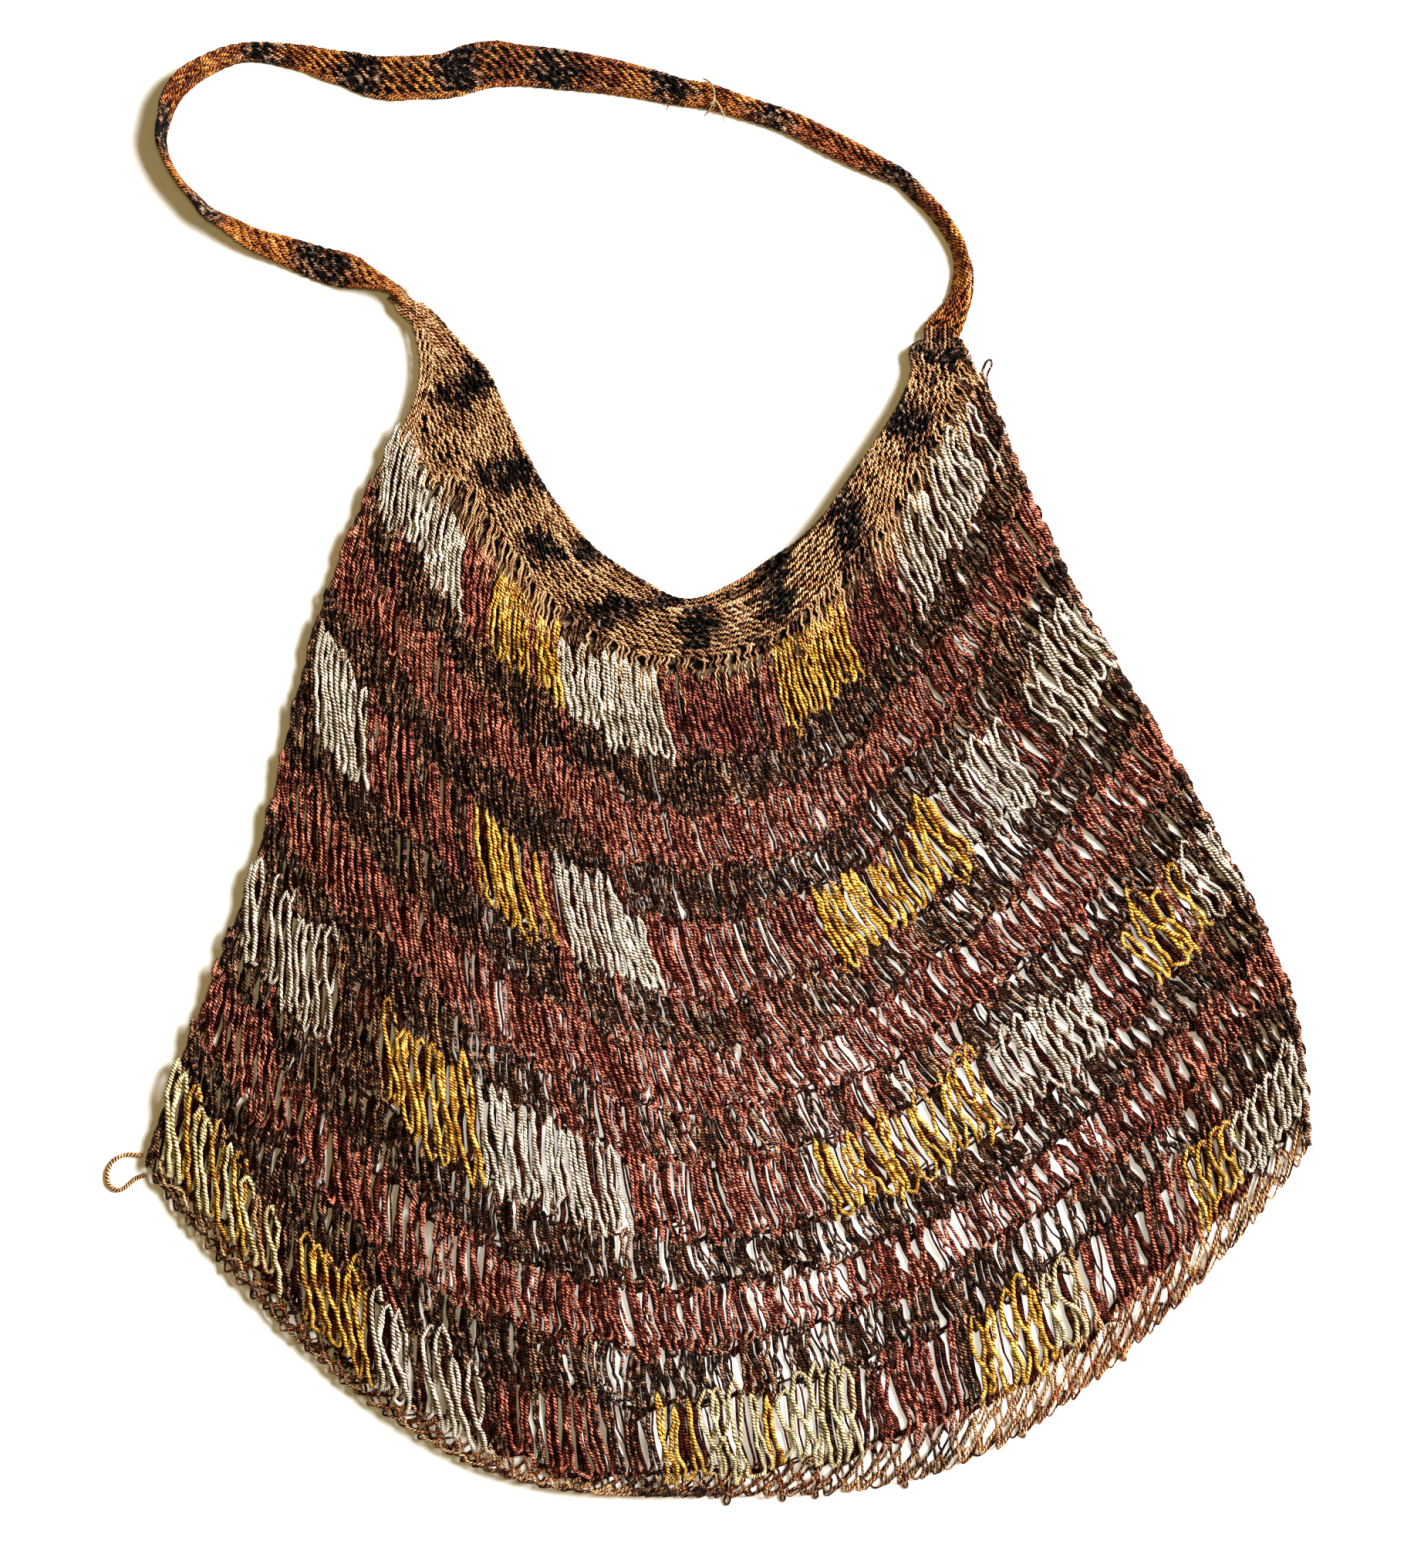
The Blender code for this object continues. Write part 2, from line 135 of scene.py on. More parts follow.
# yarn finishes
# Each yarn's painted shade between the plies, its own colour, and the painted highlight of its lit fibres
yarnLooks = {
    "rustYarn": ((0.006, 0.001, 0.001), (0.095, 0.013, 0.007), (0.66, 0.24, 0.155)),
    "redYarn": ((0.005, 0.001, 0.001), (0.065, 0.005, 0.003), (0.62, 0.19, 0.12)),
    "wineYarn": ((0.003, 0.001, 0.001), (0.040, 0.003, 0.003), (0.50, 0.15, 0.10)),
    "brownYarn": ((0.002, 0.001, 0.001), (0.018, 0.006, 0.003), (0.42, 0.20, 0.115)),
    "whiteYarn": ((0.060, 0.034, 0.014), (0.56, 0.50, 0.40), (0.88, 0.84, 0.76)),
    "creamYarn": ((0.070, 0.040, 0.010), (0.54, 0.45, 0.23), (0.86, 0.78, 0.52)),
    "yellowYarn": ((0.070, 0.014, 0.001), (0.46, 0.235, 0.026), (0.86, 0.68, 0.19)),
    "tanYarn": ((0.020, 0.004, 0.002), (0.42, 0.19, 0.078), (0.95, 0.64, 0.35)),
    "coffeeYarn": ((0.003, 0.001, 0.001), (0.050, 0.014, 0.006), (0.50, 0.26, 0.14)),
    "blackYarn": ((0.001, 0.001, 0.001), (0.005, 0.002, 0.002), (0.36, 0.22, 0.14)),
    "goldYarn": ((0.010, 0.002, 0.001), (0.25, 0.064, 0.010), (0.74, 0.33, 0.080)),
    "sherryYarn": ((0.004, 0.001, 0.001), (0.100, 0.016, 0.004), (0.54, 0.19, 0.066)),
    # the back wall's yarn in painted shade: darker copies of the rust and brown, seen only between the
    # front's, where no fibre is lit
    "darkRust": ((0.003, 0.001, 0.001), (0.030, 0.003, 0.002), (0.22, 0.050, 0.030)),
    "darkBrown": ((0.002, 0.001, 0.001), (0.009, 0.003, 0.001), (0.14, 0.054, 0.028)),
}
# How far the plies and the flecks move some yarns' colour between painted shade and painted highlight, as a
# share of the others'
tamer = {
    "brownYarn": (0.80, 1.10),
    "whiteYarn": (0.75, 0.45),
    "creamYarn": (0.75, 0.50),
    "yellowYarn": (0.80, 0.80),
    "tanYarn": (0.95, 0.35),
    "goldYarn": (0.95, 0.60),
    "sherryYarn": (0.90, 0.70),
    "blackYarn": (0.60, 1.30),
}
yarnFinish = {
    "turn": 1.3 * mm,        # from one ply's crest to the next, along the yarn
    "plies": 2,
    "plyHeight": 0.30 * mm,
    "fibreScale": 2400.0,
    "fleckScale": 430.0,
    "shadeScale": 120.0,
    "roughness": 0.75,
    "gloss": 0.05,
    # All four move the colour along the ramp from painted shade to painted highlight
    "plyShare": 0.62,        # how far plies, fibres, flecks and slow shades move the colour
    "fibreShare": 0.50,
    "fleckShare": 1.50,
    "shadeShare": 0.80,
}
finishes = {}


def mathNode(tree, operation, first, second):
    node = tree.nodes.new("ShaderNodeMath")
    node.operation = operation
    for socket, value in zip(node.inputs, (first, second)):
        if isinstance(value, (int, float)):
            socket.default_value = value
        else:
            tree.links.new(value, socket)
    return node.outputs[0]


def yarnMaterial(name):
    # Two plies wind round each other: the UV map's first number is metres along the yarn
    if name in finishes:
        return finishes[name]
    # deep is the painted shade between the plies, the last colour the painted highlight on the lit fibres
    deep, body, paintedHighlight = yarnLooks[name]
    plies, flecks = tamer.get(name, (1.0, 1.0))
    paint = bpy.data.materials.new(name)
    paint.use_nodes = True
    tree = paint.node_tree
    shader = tree.nodes["Principled BSDF"]
    shader.inputs["Roughness"].default_value = yarnFinish["roughness"]
    shader.inputs["Specular IOR Level"].default_value = yarnFinish["gloss"]
    uv = tree.nodes.new("ShaderNodeUVMap")
    uv.uv_map = "UVMap"
    split = tree.nodes.new("ShaderNodeSeparateXYZ")
    place = tree.nodes.new("ShaderNodeTexCoord")
    tree.links.new(uv.outputs["UV"], split.inputs[0])
    along = mathNode(tree, "MULTIPLY", split.outputs["X"], 2 * math.pi / yarnFinish["turn"])
    around = mathNode(tree, "MULTIPLY", split.outputs["Y"], 2 * math.pi * yarnFinish["plies"])
    wave = mathNode(tree, "SINE", mathNode(tree, "ADD", along, around), 0.0)
    ply = mathNode(tree, "MULTIPLY", mathNode(tree, "ADD", wave, 1.0), 0.5)
    lit = mathNode(tree, "MULTIPLY", ply, yarnFinish["plyShare"] * plies)
    rough = {}
    for kind, detail, more in (("fibre", 2.0, 1.0), ("fleck", 1.0, flecks), ("shade", 3.0, 1.0)):
        noise = tree.nodes.new("ShaderNodeTexNoise")
        noise.inputs["Scale"].default_value = yarnFinish[kind + "Scale"]
        noise.inputs["Detail"].default_value = detail
        tree.links.new(place.outputs["Object"], noise.inputs["Vector"])
        rough[kind] = mathNode(tree, "SUBTRACT", noise.outputs["Fac"], 0.5)
        part = mathNode(tree, "MULTIPLY", rough[kind], yarnFinish[kind + "Share"] * more)
        lit = mathNode(tree, "ADD", lit, part)
    # The ramp runs from painted shade through the yarn's own colour to a painted highlight
    ramp = tree.nodes.new("ShaderNodeValToRGB")
    ramp.color_ramp.elements[0].position = 0.04
    ramp.color_ramp.elements[0].color = (*deep, 1.0)
    middle = ramp.color_ramp.elements.new(0.38)
    middle.color = (*body, 1.0)
    ramp.color_ramp.elements[-1].position = 0.80
    ramp.color_ramp.elements[-1].color = (*paintedHighlight, 1.0)
    height = mathNode(tree, "ADD", ply, mathNode(tree, "MULTIPLY", rough["fibre"], 0.5))
    bump = tree.nodes.new("ShaderNodeBump")
    bump.inputs["Strength"].default_value = 1.0
    bump.inputs["Distance"].default_value = yarnFinish["plyHeight"]
    for source, target in (
        (lit, ramp.inputs["Fac"]),
        (ramp.outputs["Color"], shader.inputs["Base Color"]),
        (height, bump.inputs["Height"]),
        (bump.outputs["Normal"], shader.inputs["Normal"]),
    ):
        tree.links.new(source, target)
    finishes[name] = paint
    return paint


# the shape in which the bag lies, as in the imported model
# course, then x and y in mm at the left edge, a quarter, the middle, three quarters, the right edge
netLines = (
    (0.0, ((-129.5, 140.5), (-69.5, 61.5), (-7.0, 36.5), (55.0, 68.0), (112.5, 165.0))),
    (4.0, ((-163.5, 57.5), (-85.0, -26.0), (-5.5, -63.5), (74.0, -30.5), (151.5, 73.0))),
    (8.0, ((-188.0, -38.5), (-89.5, -136.5), (10.0, -163.5), (109.0, -124.0), (207.0, -22.5))),
    (12.0, ((-221.5, -128.0), (-105.5, -245.5), (11.5, -261.0), (129.0, -217.5), (245.0, -112.5))),
    (13.0, ((-231.0, -154.0), (-108.0, -274.0), (9.0, -291.5), (130.5, -252.0), (248.0, -138.0))),
    (14.0, ((-234.5, -166.5), (-114.0, -282.5), (3.5, -303.0), (125.0, -279.5), (249.5, -158.5))),
)
quarters = np.array((0.0, 0.25, 0.5, 0.75, 1.0))
netCourses = np.array([line[0] for line in netLines])
netPlaces = np.array([line[1] for line in netLines])
lay = {                      # mm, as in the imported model
    "wall": 2.0,
    "foldGap": 4.4,
    "crown": 3.2,
    "swell": 0.7,
    "crownReach": 0.08,
    "crownRise": 1.2,
    "backHeight": 1.5,
    "bandClearance": 0.6,
}


def slopesOf(knots, values):
    gaps = np.diff(knots).reshape(-1, *[1] * (values.ndim - 1))
    steps = np.diff(values, axis=0) / gaps
    inner = (steps[:-1] * gaps[1:] + steps[1:] * gaps[:-1]) / (gaps[:-1] + gaps[1:])
    first = steps[:1] * 2 - inner[:1]
    last = steps[-1:] * 2 - inner[-1:]
    return np.concatenate([first, inner, last])


def curveAt(knots, values, t):
    # The smooth curve through each value at its knot, at every t. Values may differ for each t
    leans = slopesOf(knots, values)
    i = np.clip(np.searchsorted(knots, t, side="right") - 1, 0, len(knots) - 2)
    width = knots[i + 1] - knots[i]
    s = (t - knots[i]) / width
    one = np.arange(len(t)) if values.ndim == 3 else None
    pick = (lambda table, k: table[k, one]) if values.ndim == 3 else (lambda table, k: table[k])
    shape = (-1, *[1] * (pick(values, i).ndim - 1))
    s = s.reshape(shape)
    width = width.reshape(shape)
    return (
        pick(values, i) * (1 + 2 * s) * (1 - s) ** 2
        + pick(leans, i) * (width * s * (1 - s) ** 2)
        + pick(values, i + 1) * (s * s * (3 - 2 * s))
        + pick(leans, i + 1) * (width * s * s * (s - 1))
    )


def smoothStep(share):
    share = np.clip(share, 0.0, 1.0)
    return share * share * (3.0 - 2.0 * share)


def netPoint(across, course):
    # x and y in mm at a share of the way across and a number of courses down
    across = np.asarray(across, float)
    lines = np.stack([curveAt(quarters, line, across) for line in netPlaces])
    return curveAt(netCourses, lines, np.asarray(course, float))


def frontHeight(across, course):
    side = smoothStep(np.minimum(across, 1.0 - across) / lay["crownReach"])
    foot = smoothStep((netCourses[-1] - course) / lay["crownRise"])
    uneven = np.sin(9.0 * across + 0.9 * course) * np.cos(5.0 * across - 0.7 * course)
    crown = (lay["crown"] + lay["swell"] * uneven) * side * foot
    return lay["wall"] / 2 + lay["foldGap"] + crown


def inMetres(points):
    points = np.array(points, float)
    points[:, 0] -= bagMiddle[0]
    points[:, 1] -= bagMiddle[1]
    return points * mm


def roundOff(points):
    # One more point between each two, on the smooth curve through them
    padded = np.concatenate([points[:1], points, points[-1:]])
    between = (9 * (padded[1:-2] + padded[2:-1]) - padded[:-3] - padded[3:]) / 16
    rounded = np.empty((2 * len(points) - 1, 3))
    rounded[::2] = points
    rounded[1::2] = between
    return rounded


def yarnTubes(name, runs, sides):
    # runs holds, for each length of yarn, its points in mm, its radius in mm and its finish
    used = sorted({run[2] for run in runs})
    curve = bpy.data.curves.new(name, "CURVE")
    curve.dimensions = "3D"
    curve.bevel_depth = 1.0
    curve.bevel_resolution = (sides - 4) // 2
    curve.use_fill_caps = True
    for finish in used:
        curve.materials.append(yarnMaterial(finish))
    lengths = []
    for points, radius, finish in runs:
        points = inMetres(points)
        lengths.append(np.linalg.norm(np.diff(points, axis=0), axis=1).sum())
        spline = curve.splines.new("POLY")
        spline.points.add(len(points) - 1)
        spline.points.foreach_set("co", np.column_stack([points, np.ones(len(points))]).ravel())
        radii = np.broadcast_to(np.asarray(radius, float) * mm, len(points))
        spline.points.foreach_set("radius", np.ascontiguousarray(radii))
        spline.material_index = used.index(finish)
        spline.use_smooth = True
    holder = bpy.data.objects.new(name, curve)
    bpy.context.scene.collection.objects.link(holder)
    graph = bpy.context.evaluated_depsgraph_get()
    mesh = bpy.data.meshes.new_from_object(holder.evaluated_get(graph))
    bpy.data.objects.remove(holder, do_unlink=True)
    # The tubes' own UV runs from 0 to 1 along each yarn: here it becomes metres
    layer = mesh.uv_layers[0]
    layer.name = "UVMap"
    uv = np.empty(2 * len(layer.data), np.float32)
    layer.data.foreach_get("uv", uv)
    caps = len(runs) * 2 * (sides - 2) * 3
    corners = [(len(run[0]) - 1) * sides * 4 for run in runs]
    uv[2 * caps::2] *= np.repeat(lengths, corners)
    layer.data.foreach_set("uv", uv)
    return mesh


def addPiece(name, meshes, node):
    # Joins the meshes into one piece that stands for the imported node
    bm = bmesh.new()
    paints = []
    for mesh in meshes:
        start = len(paints)
        paints += list(mesh.materials)
        count = len(bm.faces)
        bm.from_mesh(mesh)
        bm.faces.ensure_lookup_table()
        for face in bm.faces[count:]:
            face.material_index += start
        bpy.data.meshes.remove(mesh)
    bmesh.ops.remove_doubles(bm, verts=bm.verts, dist=0.0005 * mm)
    joined = bpy.data.meshes.new(name)
    bm.to_mesh(joined)
    bm.free()
    for paint in paints:
        joined.materials.append(paint)
    piece = bpy.data.objects.new(name, joined)
    bpy.context.scene.collection.objects.link(piece)
    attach(piece, "root")
    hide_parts(node)
    triangles = sum(len(face.vertices) - 2 for face in joined.polygons)
    print(f"{name}: {triangles} triangles")
    return piece


# the looped net
net = {
    "wales": 84,
    "backWales": 92,
    "middleWales": 70,       # as many as there would be if all were as wide as in the middle
    "crowding": 1.19,        # how much wider than the mean the loops are in the middle
    "darkRadius": 0.74,      # mm
    "darkGrowth": 0.095,     # share more for each mm that the pitch is past straightPitch
    "backRadius": 1.00,      # where its loops are 4.7 mm apart, and more where they are wider
    "openBackRadius": 0.50,  # where a loop is drawn aside and light comes through
    "accentRadius": 0.80,
    "accentGrowth": 0.013,   # mm more for each course down
    "opened": 0.07,          # share of the back's loops that are drawn aside
    "openedMore": 0.38,      # in the middle and lower body
    "leftLean": 17.0,        # degrees that the loops lean off the net's own lines
    "rightLean": 6.0,
    "straightPitch": 5.8,    # mm from loop to loop, up to which they hang in S waves
    "crossedPitch": 9.6,     # mm from loop to loop, from which each crosses over itself
    "laceWales": 60,         # of the open rows at the very bottom
    "laceRadius": 0.58,
    "wiggle": 0.42,          # mm to each side that the yarn waves between its bends
    "wiggleLength": 8.5,
    "drift": 0.12,           # pitches that the hooks drift in slow waves
    "stray": 0.16,           # pitches that each hook strays by itself
    "ragged": 0.075,         # courses that a row's edge wanders up and down
    "jump": 0.055,           # courses that each hook strays up and down by itself
}
# Each row's top, in courses, and its yarn. An accent row's yarn follows accentChart
netRows = (
    (0.00, "A"), (1.28, "brownYarn"), (2.19, "rustYarn"), (3.16, "brownYarn"),
    (4.00, "B"), (5.28, "mixedYarn"), (6.19, "rustYarn"), (7.16, "mixedYarn"),
    (8.00, "C"), (9.28, "brownYarn"), (10.19, "rustYarn"), (11.16, "brownYarn"),
    (12.00, "D"),
)
laceRows = (13.08, 13.38, 13.70, 14.0)
# share across at which each stretch of the front's accent rows ends, and its yarn
accentChart = {
    "A": ((0.13, "whiteYarn"), (0.18, "redYarn"), (0.29, "yellowYarn"), (0.456, "whiteYarn"),
          (0.64, "wineYarn"), (0.766, "yellowYarn"), (0.846, "wineYarn"), (1.1, "whiteYarn")),
    "B": ((0.078, "whiteYarn"), (0.204, "redYarn"), (0.319, "yellowYarn"), (0.439, "whiteYarn"),
          (0.659, "redYarn"), (0.819, "yellowYarn"), (0.904, "whiteYarn"), (0.925, "redYarn"),
          (1.1, "whiteYarn")),
    "C": ((0.088, "whiteYarn"), (0.14, "brownYarn"), (0.233, "yellowYarn"), (0.39, "whiteYarn"),
          (0.575, "redYarn"), (0.757, "yellowYarn"), (0.866, "whiteYarn"), (0.914, "redYarn"),
          (0.968, "yellowYarn"), (1.1, "whiteYarn")),
    "D": ((0.104, "creamYarn"), (0.125, "redYarn"), (0.174, "yellowYarn"), (0.274, "whiteYarn"),
          (0.419, "redYarn"), (0.4745, "yellowYarn"), (0.609, "creamYarn"), (0.7025, "redYarn"),
          (0.765, "yellowYarn"), (0.813, "creamYarn"), (0.889, "redYarn"), (0.941, "yellowYarn"),
          (1.1, "whiteYarn")),
}
paleYarns = ("whiteYarn", "creamYarn", "yellowYarn")
# The dark stretches are blends: each yarn and the share of the loops that it has
yarnBlends = {
    "redYarn": (("redYarn", 0.62), ("rustYarn", 0.20), ("brownYarn", 0.18)),
    "wineYarn": (("wineYarn", 0.76), ("brownYarn", 0.12), ("rustYarn", 0.12)),
    "rustYarn": (("rustYarn", 0.88), ("redYarn", 0.12)),
    "brownYarn": (("brownYarn", 0.86), ("coffeeYarn", 0.10), ("redYarn", 0.04)),
    "mixedYarn": (("brownYarn", 0.48), ("rustYarn", 0.36), ("coffeeYarn", 0.16)),
    "coffeeYarn": (("coffeeYarn", 0.28), ("brownYarn", 0.18), ("tanYarn", 0.34), ("sherryYarn", 0.20)),
    "whiteYarn": (("whiteYarn", 0.92), ("brownYarn", 0.08)),
    "creamYarn": (("creamYarn", 0.80), ("tanYarn", 0.12), ("yellowYarn", 0.08)),
    "yellowYarn": (("yellowYarn", 0.87), ("rustYarn", 0.13)),
}
# The back wall's yarns, each swapped for a darker copy: painted shade
backYarns = {
    "rustYarn": "darkRust",
    "redYarn": "darkRust",
    "brownYarn": "darkBrown",
    "coffeeYarn": "darkBrown",
    "sherryYarn": "coffeeYarn",
}
# One loop, from one hook to the next: share of the pitch, share of the row's height, radii up.
# Where the loops are wide they cross over themselves, and where they are narrow they hang in S waves
crossedLoop = np.array((
    (-0.50, 1.08, 0.50),
    (-0.16, 0.88, -0.50),
    (-0.14, 0.62, -0.90),
    (0.20, 0.38, -0.90),
    (0.30, 0.10, -0.40),
    (-0.08, -0.12, 0.40),
    (-0.54, 0.08, 0.80),
    (-0.52, 0.34, 0.90),
    (-0.12, 0.57, 0.90),
    (0.16, 0.78, 0.90),
    (0.18, 0.99, 0.70),
))
narrowLoop = np.array((
    (-0.50, 1.06, 0.20),
    (-0.22, 0.86, -0.50),
    (-0.40, 0.60, -0.30),
    (-0.46, 0.34, 0.20),
    (-0.36, 0.10, 0.50),
    (-0.12, -0.08, 0.60),
    (0.12, 0.12, 0.40),
    (0.02, 0.34, 0.30),
    (0.05, 0.56, 0.60),
    (0.28, 0.76, 0.70),
    (0.30, 0.94, 0.50),
))


def yarnOf(row, across, onBack):
    if row == "mixedYarn" and abs(across - 0.53) > 0.22:
        return "brownYarn"
    if row not in accentChart:
        return row
    # The back's accent rows are drawn in dark yarn, not in their pale colours: painted shade
    if onBack:
        return "redYarn"
    return next(yarn for end, yarn in accentChart[row] if across < end)


def blendedYarn(yarn, draw):
    for name, share in yarnBlends.get(yarn, ()):
        if draw < share:
            return name
        draw -= share
    return yarn


def hookPlaces(count, dice):
    # How far the hooks at each row's edge stray: along it in pitches, and down in courses
    wales = np.arange(count + 1.0)
    places = []
    for _ in range(len(netRows) + 1):
        phase = dice.uniform(0.0, 2 * math.pi, 4)
        along = np.sin(0.62 * wales + phase[0]) + np.sin(0.23 * wales + phase[1])
        down = np.sin(0.37 * wales + phase[2]) + 0.8 * np.sin(1.05 * wales + phase[3])
        along = net["drift"] * along + dice.normal(0.0, net["stray"], count + 1)
        down = net["ragged"] * down + dice.normal(0.0, net["jump"], count + 1)
        places.append((along, down))
    return places


def spread(share):
    # From a loop's place in its row to the share across: the loops are closer towards both sides
    away = share - 0.5
    return 0.5 + net["crowding"] * away - 4 * (net["crowding"] - 1.0) * away ** 3


def pitchAt(across, course, count):
    step = 0.01
    ahead = netPoint(np.clip(across + step, 0.0, 1.0), course)
    behind = netPoint(np.clip(across - step, 0.0, 1.0), course)
    return np.linalg.norm(ahead - behind, axis=1) / (2 * step) / count


def openness(across, course):
    # From 0 where the two walls hide the floor to 1 where most light comes through
    reach = np.where(across > 0.54, 0.17, 0.24)
    middle = np.exp(-((across - 0.54) / reach) ** 2) * smoothStep((course - 2.5) / 4.0)
    low = 0.8 * smoothStep((course - 10.5) / 2.5) * smoothStep((across - 0.10) / 0.3)
    return np.maximum(middle, low)


def wiggled(points, dice):
    # The same run of yarn, waving a little from side to side on its way
    steps = np.linalg.norm(np.diff(points, axis=0), axis=1)
    at = np.concatenate([[0.0], np.cumsum(steps)])
    ahead = np.gradient(points[:, :2], axis=0)
    ahead /= np.maximum(np.linalg.norm(ahead, axis=1), 1e-6)[:, None]
    phase = dice.uniform(0.0, 2 * math.pi, 2)
    wave = np.sin(2 * math.pi * at / net["wiggleLength"] + phase[0])
    wave += 0.6 * np.sin(2 * math.pi * at / (net["wiggleLength"] * 0.57) + phase[1])
    moved = points.copy()
    moved[:, 0] -= ahead[:, 1] * wave * net["wiggle"]
    moved[:, 1] += ahead[:, 0] * wave * net["wiggle"]
    return moved


def loopRow(index, hooks, onBack, dice):
    # One row of loops across a wall, as one length of yarn for each colour
    top, row = netRows[index]
    bottom = netRows[index + 1][0] if index + 1 < len(netRows) else laceRows[0]
    count = net["backWales"] if onBack else net["wales"]
    wales = np.arange(count)
    place = (wales + 0.5) / count
    middle = spread(place)
    drawn = dice.uniform(0.0, 1.0, count)
    nudged = middle + dice.normal(0.0, 0.004, count)
    yarns = [blendedYarn(yarnOf(row, a, onBack), d) for a, d in zip(nudged, drawn)]
    pale = np.array([yarn in paleYarns for yarn in yarns])
    if onBack:
        yarns = [backYarns.get(yarn, yarn) for yarn in yarns]
    loose = pitchAt(middle, np.full(count, (top + bottom) / 2), net["middleWales"])
    closer = net["crowding"] - 12 * (net["crowding"] - 1.0) * (place - 0.5) ** 2
    pitch = loose * closer * net["middleWales"] / count
    crossing = (loose + 1.1 * pale - net["straightPitch"]) / (net["crossedPitch"] - net["straightPitch"])
    crossing = smoothStep(crossing + dice.normal(0.0, 0.22, count)) * (0.7 + 0.3 * pale)
    crossing = crossing[:, None, None]
    loops = narrowLoop * (1 - crossing) + crossedLoop * crossing
    points = len(crossedLoop)
    a, b, up = np.moveaxis(loops, 2, 0)
    slack = 1.0 + dice.normal(0.0, 0.13, (count, 1))
    lean = dice.normal(0.0, 0.16, (count, 1))
    stretch = 1.0 + dice.normal(0.0, 0.05, (count, 1)) * (1 + pale[:, None])
    slack = slack * (1 + 0.25 * pale[:, None] * crossing[:, 0])
    a = a * slack + lean * (0.6 - b) + dice.normal(0.0, 0.05, (count, points))
    b = 0.55 + (b - 0.55) * stretch + dice.normal(0.0, 0.012, (count, points))
    up = up + dice.normal(0.0, 0.12, (count, points))
    foot = netPoint(middle, np.full(count, bottom))
    tall = np.linalg.norm(foot - netPoint(middle, np.full(count, top)), axis=1)
    tilt = np.radians(net["leftLean"] + (net["rightLean"] - net["leftLean"]) * middle)
    a = a + (b - 0.5) * (tall * np.tan(tilt) / pitch)[:, None]
    if onBack:
        a = -a
    (topAlong, topDown), (footAlong, footDown) = hooks[index], hooks[index + 1]
    here = wales[:, None]
    across = here + 0.5 + a + topAlong[here] * (1 - b) + footAlong[here] * b
    if onBack:
        across = count - across
    down = top + (bottom - top) * b
    down = down + (topDown[here] * (1 - b) + footDown[here] * b)
    across = spread(np.clip(across.ravel() / count, -0.006, 1.006))
    down = np.clip(down.ravel(), -0.22, 14.05)
    places = netPoint(across, down)
    plain = net["darkRadius"] * (1 + net["darkGrowth"] * np.clip(pitch - net["straightPitch"], 0.0, 4.5))
    if onBack:
        opened = openness(1.0 - middle, (top + bottom) / 2)
        opened = dice.uniform(0.0, 1.0, count) < net["opened"] + net["openedMore"] * opened
        full = net["backRadius"] * np.clip(pitch / 4.7, 0.95, 1.50)
        plain = np.where(opened, net["openBackRadius"], full)
    accent = net["accentRadius"] + net["accentGrowth"] * top
    radii = np.where(pale, accent, plain) * (1.0 + dice.normal(0.0, 0.06, count))
    if onBack:
        height = np.full(len(across), lay["backHeight"])
    else:
        height = frontHeight(np.clip(across, 0.0, 1.0), np.minimum(down, 14.0))
    up = up.ravel()
    runs = []
    first = 0
    for k in range(1, count + 1):
        if k < count and yarns[k] == yarns[first] and k - first < (1 if onBack else 6):
            continue
        last = min(k * points + 1, len(across))
        span = slice(first * points, last)
        radius = radii[first]
        lift = height[span] + up[span] * radius
        if onBack:
            lift = np.maximum(lift, radius + 0.12)
        run = np.column_stack([places[span], lift])
        run[0, 2] -= 0.08
        runs.append((run if onBack else wiggled(roundOff(run), dice), radius, yarns[first]))
        first = k
    return runs


def laceRow(top, bottom, turn, onBack, dice):
    # One of the open rows at the very bottom: thin yarn going down and up between its hooks
    count = net["laceWales"]
    wave = np.array((
        (0.02, -0.20), (0.10, 0.10), (0.27, 0.56), (0.42, 1.04),
        (0.58, 1.04), (0.73, 0.56), (0.90, 0.10),
    ))
    wales = np.arange(count)[:, None]
    shape = (count, len(wave))
    across = wales + turn + wave[:, 0] + dice.normal(0.0, 0.10, (count, 1)) + dice.normal(0.0, 0.03, shape)
    down = wave[:, 1] + dice.normal(0.0, 0.10, (count, 1)) + dice.normal(0.0, 0.04, shape)
    across = np.clip(across.ravel() / count, 0.0, 1.0)
    down = np.clip(top + (bottom - top) * down.ravel(), 0.0, 14.06)
    places = netPoint(across, down)
    lift = np.tile((0.9, 0.3, -0.4, -0.7, -0.7, -0.4, 0.3), count)
    if onBack:
        height = lay["backHeight"] + 0.3 - 0.5 * lift
    else:
        height = frontHeight(across, np.minimum(down, 14.0)) + 0.5 * lift - 0.4
    runs = []
    first = 0
    while first < count:
        last = min(count, first + int(dice.integers(2, 7)))
        span = slice(first * len(wave), min(last * len(wave) + 1, len(across)))
        run = np.column_stack([places[span], np.maximum(height[span], net["laceRadius"] + 0.12)])
        run[0, 2] += 0.07
        runs.append((roundOff(run), net["laceRadius"], blendedYarn("coffeeYarn", dice.uniform())))
        first = last
    return runs


def makeWall(name, onBack, seed):
    dice = np.random.default_rng(seed)
    hooks = hookPlaces(net["backWales"] if onBack else net["wales"], dice)
    dark = []
    pale = []
    for index in range(len(netRows)):
        for run in loopRow(index, hooks, onBack, dice):
            (pale if run[2] in paleYarns and not onBack else dark).append(run)
    wall = addPiece(name, [yarnTubes(name, dark, 4)], "net_body")
    if onBack:
        return wall
    accents = name + "_accents"
    return wall, addPiece(accents, [yarnTubes(accents, pale, 6)], "net_body")


